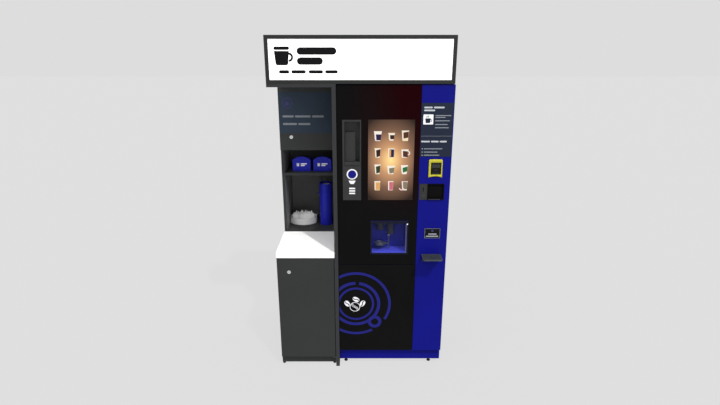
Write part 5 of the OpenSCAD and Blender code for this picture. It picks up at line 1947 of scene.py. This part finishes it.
for start in (30, 39):
    laid(notice, pill((nx + start, nx + start + 3.5), (nz - 82, nz - 71)), ny - 0.3, notice_film)
laid(notice, pill((nx + 3, nx + 176), (nz - 187, nz - 185.6)), ny, soft_ink)
plate_x, plate_z = (plates_low.x + 46, plates_low.x + 141), (plates_low.z, plates_low.z + 64)
for a, b in (
    ((plate_x[0] + 1, plate_x[1] - 1), (plate_z[0] + 1, plate_z[0] + 2.6)),
    ((plate_x[0] + 1, plate_x[1] - 1), (plate_z[1] - 2.6, plate_z[1] - 1)),
    ((plate_x[0] + 1, plate_x[0] + 2.6), (plate_z[0] + 3, plate_z[1] - 3)),
    ((plate_x[1] - 2.6, plate_x[1] - 1), (plate_z[0] + 3, plate_z[1] - 3)),
):
    laid(notice, oblong(a, b), ny, soft_ink)
middle = (plate_x[0] + plate_x[1]) / 2
laid(notice, cup_outline(middle, plate_z[1] - 22, 13, 12), ny, purple_vinyl)
laid(notice, pill((middle - 24, middle + 26), (plate_z[0] + 25, plate_z[0] + 30)), ny, pale_ink)
laid(notice, pill((middle - 38, middle + 36), (plate_z[0] + 11, plate_z[0] + 16)), ny, pale_ink)
notice.piece("notice_print", "front_door", "plate")


# %% Card reader: a black face with a display, a row of signal lamps and a card slot
reader_black = finish(
    "reader_black", (0.0095, 0.0095, 0.0085), rough=(0.2, 0.32), tone=0.08, cloud=30.0,
    Specular_IOR_Level=0.05,
)
shaped("card_reader", 0.7, reader_black)
reader_low, reader_high = low("card_reader"), high("card_reader")
face = Kit()
fx, fz = (reader_low.x + 7.3, reader_high.x - 2.3), (reader_low.z + 11.3, reader_high.z - 13.3)
display_glow = glowing("reader_display", (0.012, 0.013, 0.014), 0.25, rough=(0.1, 0.2))
laid(face, pill((fx[0] + 6, fx[1] - 6), (fz[1] - 30, fz[1] - 10), 2), reader_low.y, display_glow)
for i in range(4):
    laid(
        face, pill((fx[0] + 13 + i * 10, fx[0] + 15.5 + i * 10), (fz[1] - 6, fz[1] - 3.5)), reader_low.y,
        tiny_green if i == 0 else grey_moulding
    )
for radius in (6, 10, 14):
    laid(
        face, ring_band(((fx[0] + fx[1]) / 2, fz[0] + 17), radius, radius - 1.6, (35, 35), (145, 145), 14),
        reader_low.y, grey_moulding, rise=0.25
    )
face.slab(
    pill((fx[0] + 8, fx[1] - 8), (fz[0] + 6, fz[0] + 10), 1), 1, reader_low.y - 1.2, reader_low.y,
    grey_moulding, 0.4
)
face.piece("reader_face", "front_door", "black_plastic")

# %% [markdown]
# The bezel is the brightest thing on the column. Its outer corners are round and its lower edge is scooped,
# so its front is an outline with a window, built again rather than only eased. The scoop leaves the column
# showing under it.

# %% Yellow bezel
bezel_low, bezel_high = low("reader_bezel"), high("reader_bezel")
bezel = Kit()


def framed(kit, outer, window, near, far, material, ease):
    """A plate with a window: both outlines have the same number of points and start at the same corner."""
    count, points, faces = len(outer), [], []
    rings = (
        (outer, far, 0), (outer, near + ease, 0), (outer, near, ease), (window, near, -ease),
        (window, near + ease, 0), (window, far, 0),
    )
    for outline, level, inset in rings:
        for point in inset_outline(outline, inset) if inset else outline:
            points.append(place(point, level, 1))
    for ring in range(len(rings)):
        for i in range(count):
            j = (i + 1) % count
            a, b = ring * count, (ring + 1) % len(rings) * count
            faces.append((a + i, a + j, b + j, b + i))
    kit.add(points, faces, material)


def spread_outline(outline, count):
    """The same closed outline with evenly spaced points."""
    lengths, total = [], 0.0
    for a, b in zip(outline, outline[1:] + outline[:1]):
        total += math.dist(a, b)
        lengths.append(total)
    result, index, before = [], 0, 0.0
    for i in range(count):
        target = total * i / count
        while lengths[index] < target - 1e-9:
            before = lengths[index]
            index += 1
        a, b = outline[index], outline[(index + 1) % len(outline)]
        share = (target - before) / max(lengths[index] - before, 1e-9)
        result.append((a[0] + (b[0] - a[0]) * share, a[1] + (b[1] - a[1]) * share))
    return result


bx, bz = (bezel_low.x, bezel_high.x), (bezel_low.z, bezel_high.z)
foot = [(bx[1] - (bx[1] - bx[0]) * i / 16, bz[0] + 7 * math.sin(math.pi * i / 16)) for i in range(17)][::-1]
outer = arc((bx[1] - 8, bz[1] - 8), 8, 0, 90, 6) + arc((bx[0] + 8, bz[1] - 8), 8, 90, 180, 6) + foot
opening = pill((bx[0] + 12, bx[1] - 7), (bz[0] + 17, bz[1] - 19), 3)
opening = opening[6:] + opening[:6]
framed(
    bezel, spread_outline(outer, 96), spread_outline(opening, 96), bezel_low.y, bezel_low.y + 8,
    yellow_moulding, 1.6
)
bezel.piece("reader_bezel_shaped", "front_door", "yellow", ("reader_bezel",), sharp=50)

# %% Coin slot, return button, coin cup and flap
coin_grey = finish(
    "coin_plate_grey", (0.0235, 0.0240, 0.0225), tone=0.06, Specular_IOR_Level=0.2, **pebbled
)
shaped("coin_plate", 0.6, coin_grey)
shaped("coin_return_button", 0.8, bracket_grey, segments=3)
cup_black = finish(
    "coin_cup_black", (0.0032, 0.0028, 0.0026), rough=(0.5, 0.65), tone=0.1, cloud=25.0,
    Specular_IOR_Level=0.05
)
shaped("coin_cup", 0.8, cup_black)
shaped("coin_flap", 0.5, cup_black)
coin_low, coin_high = low("coin_plate"), high("coin_plate")
cup_box_low, cup_box_high = low("coin_cup"), high("coin_cup")
button_mid = (low("coin_return_button") + high("coin_return_button")) / 2
coin = Kit()
slot_z = (coin_high.z - 50, coin_high.z - 17.7)
slot_frame = pill((button_mid.x - 7, button_mid.x + 7), (slot_z[0] - 5, slot_z[1] + 5), 6)
slot = pill((button_mid.x - 2.2, button_mid.x + 2.2), slot_z, 2)
framed(
    coin, spread_outline(slot_frame, 48), spread_outline(slot, 48), coin_low.y - 2, coin_low.y, bracket_grey,
    0.8
)
button_ring = [(9.0, -1.6), (10.4, -1.2), (11, 0), (7.2, 0), (7.2, -1.4), (8.9, -1.61)]
coin.turned((button_mid.x, coin_low.y, button_mid.z), 1, button_ring, bracket_grey, 36)
coin.box(
    (cup_box_low.x + 6, cup_box_high.x - 24), (cup_box_low.y - 0.8, cup_box_low.y + 1),
    (cup_box_low.z + 2.4, cup_box_low.z + 6.5), grey_moulding, 0.6
)
coin.piece("coin_trim", "front_door", "chrome")
repeated(
    "coin_screws", screw(1, -1, 2.4, 1.0),
    [
        ("row", (x, coin_low.y, coin_low.z + 8), (0, 0, coin_high.z - coin_low.z - 16), 2)
        for x in (coin_low.x + 7, coin_high.x - 7)
    ], bracket_grey, "front_door", "steel",
)

# %% Cup shelf: round front corners, two gussets and grip ribs
shelf_low, shelf_high = low("cup_shelf"), high("cup_shelf")
ledge = Kit()
corner = 16
outline = [(shelf_high.x, shelf_high.y), (shelf_low.x, shelf_high.y)]
outline += arc((shelf_low.x + corner, shelf_low.y + corner), corner, 180, 270, 8)
outline += arc((shelf_high.x - corner, shelf_low.y + corner), corner, 270, 360, 8)
ledge.slab(outline, 2, shelf_high.z - 6, shelf_high.z, shelf_grey, 1.4)
under = shelf_high.z - 5
gusset = [(shelf_low.y + 16, under), (shelf_high.y, under), (shelf_high.y, shelf_low.z)]
for x in (shelf_low.x + 6, shelf_high.x - 13):
    ledge.slab(gusset, 0, x, x + 4, shelf_grey, 0.6)
ledge.piece("cup_shelf_shaped", "front_door", "grey_plastic", ("cup_shelf",))
repeated(
    "shelf_ribs",
    lambda kit: kit.slab(pill((-0.9, 0.9), (-34, 34)), 2, 0, 0.5, shelf_grey),
    [("row", (shelf_low.x + 12, (shelf_low.y + shelf_high.y) / 2 + 4, shelf_high.z - 0.5), (8.6, 0, 0), 12)],
    shelf_grey, "front_door", "grey_plastic",
)

# %% [markdown]
# ## Sizes
# The pieces shown and their triangles are counted, and how far the finished kiosk grows past the frame
# is printed for each side.

# %% Sizes
from_parts = [o for o in bpy.data.objects if o.type == "MESH" and o.get("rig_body") and not o.hide_render]
triangles = sum(sum(len(p.vertices) - 2 for p in o.data.polygons) for o in from_parts)
print("pieces shown:", len(from_parts), "triangles:", triangles)
seen_low, seen_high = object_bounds()
outside, inside = list(cad_low) + list(seen_high), list(seen_low) + list(cad_high)
print("grows by mm:", [round((a - b) / MM, 2) for a, b in zip(outside, inside)])
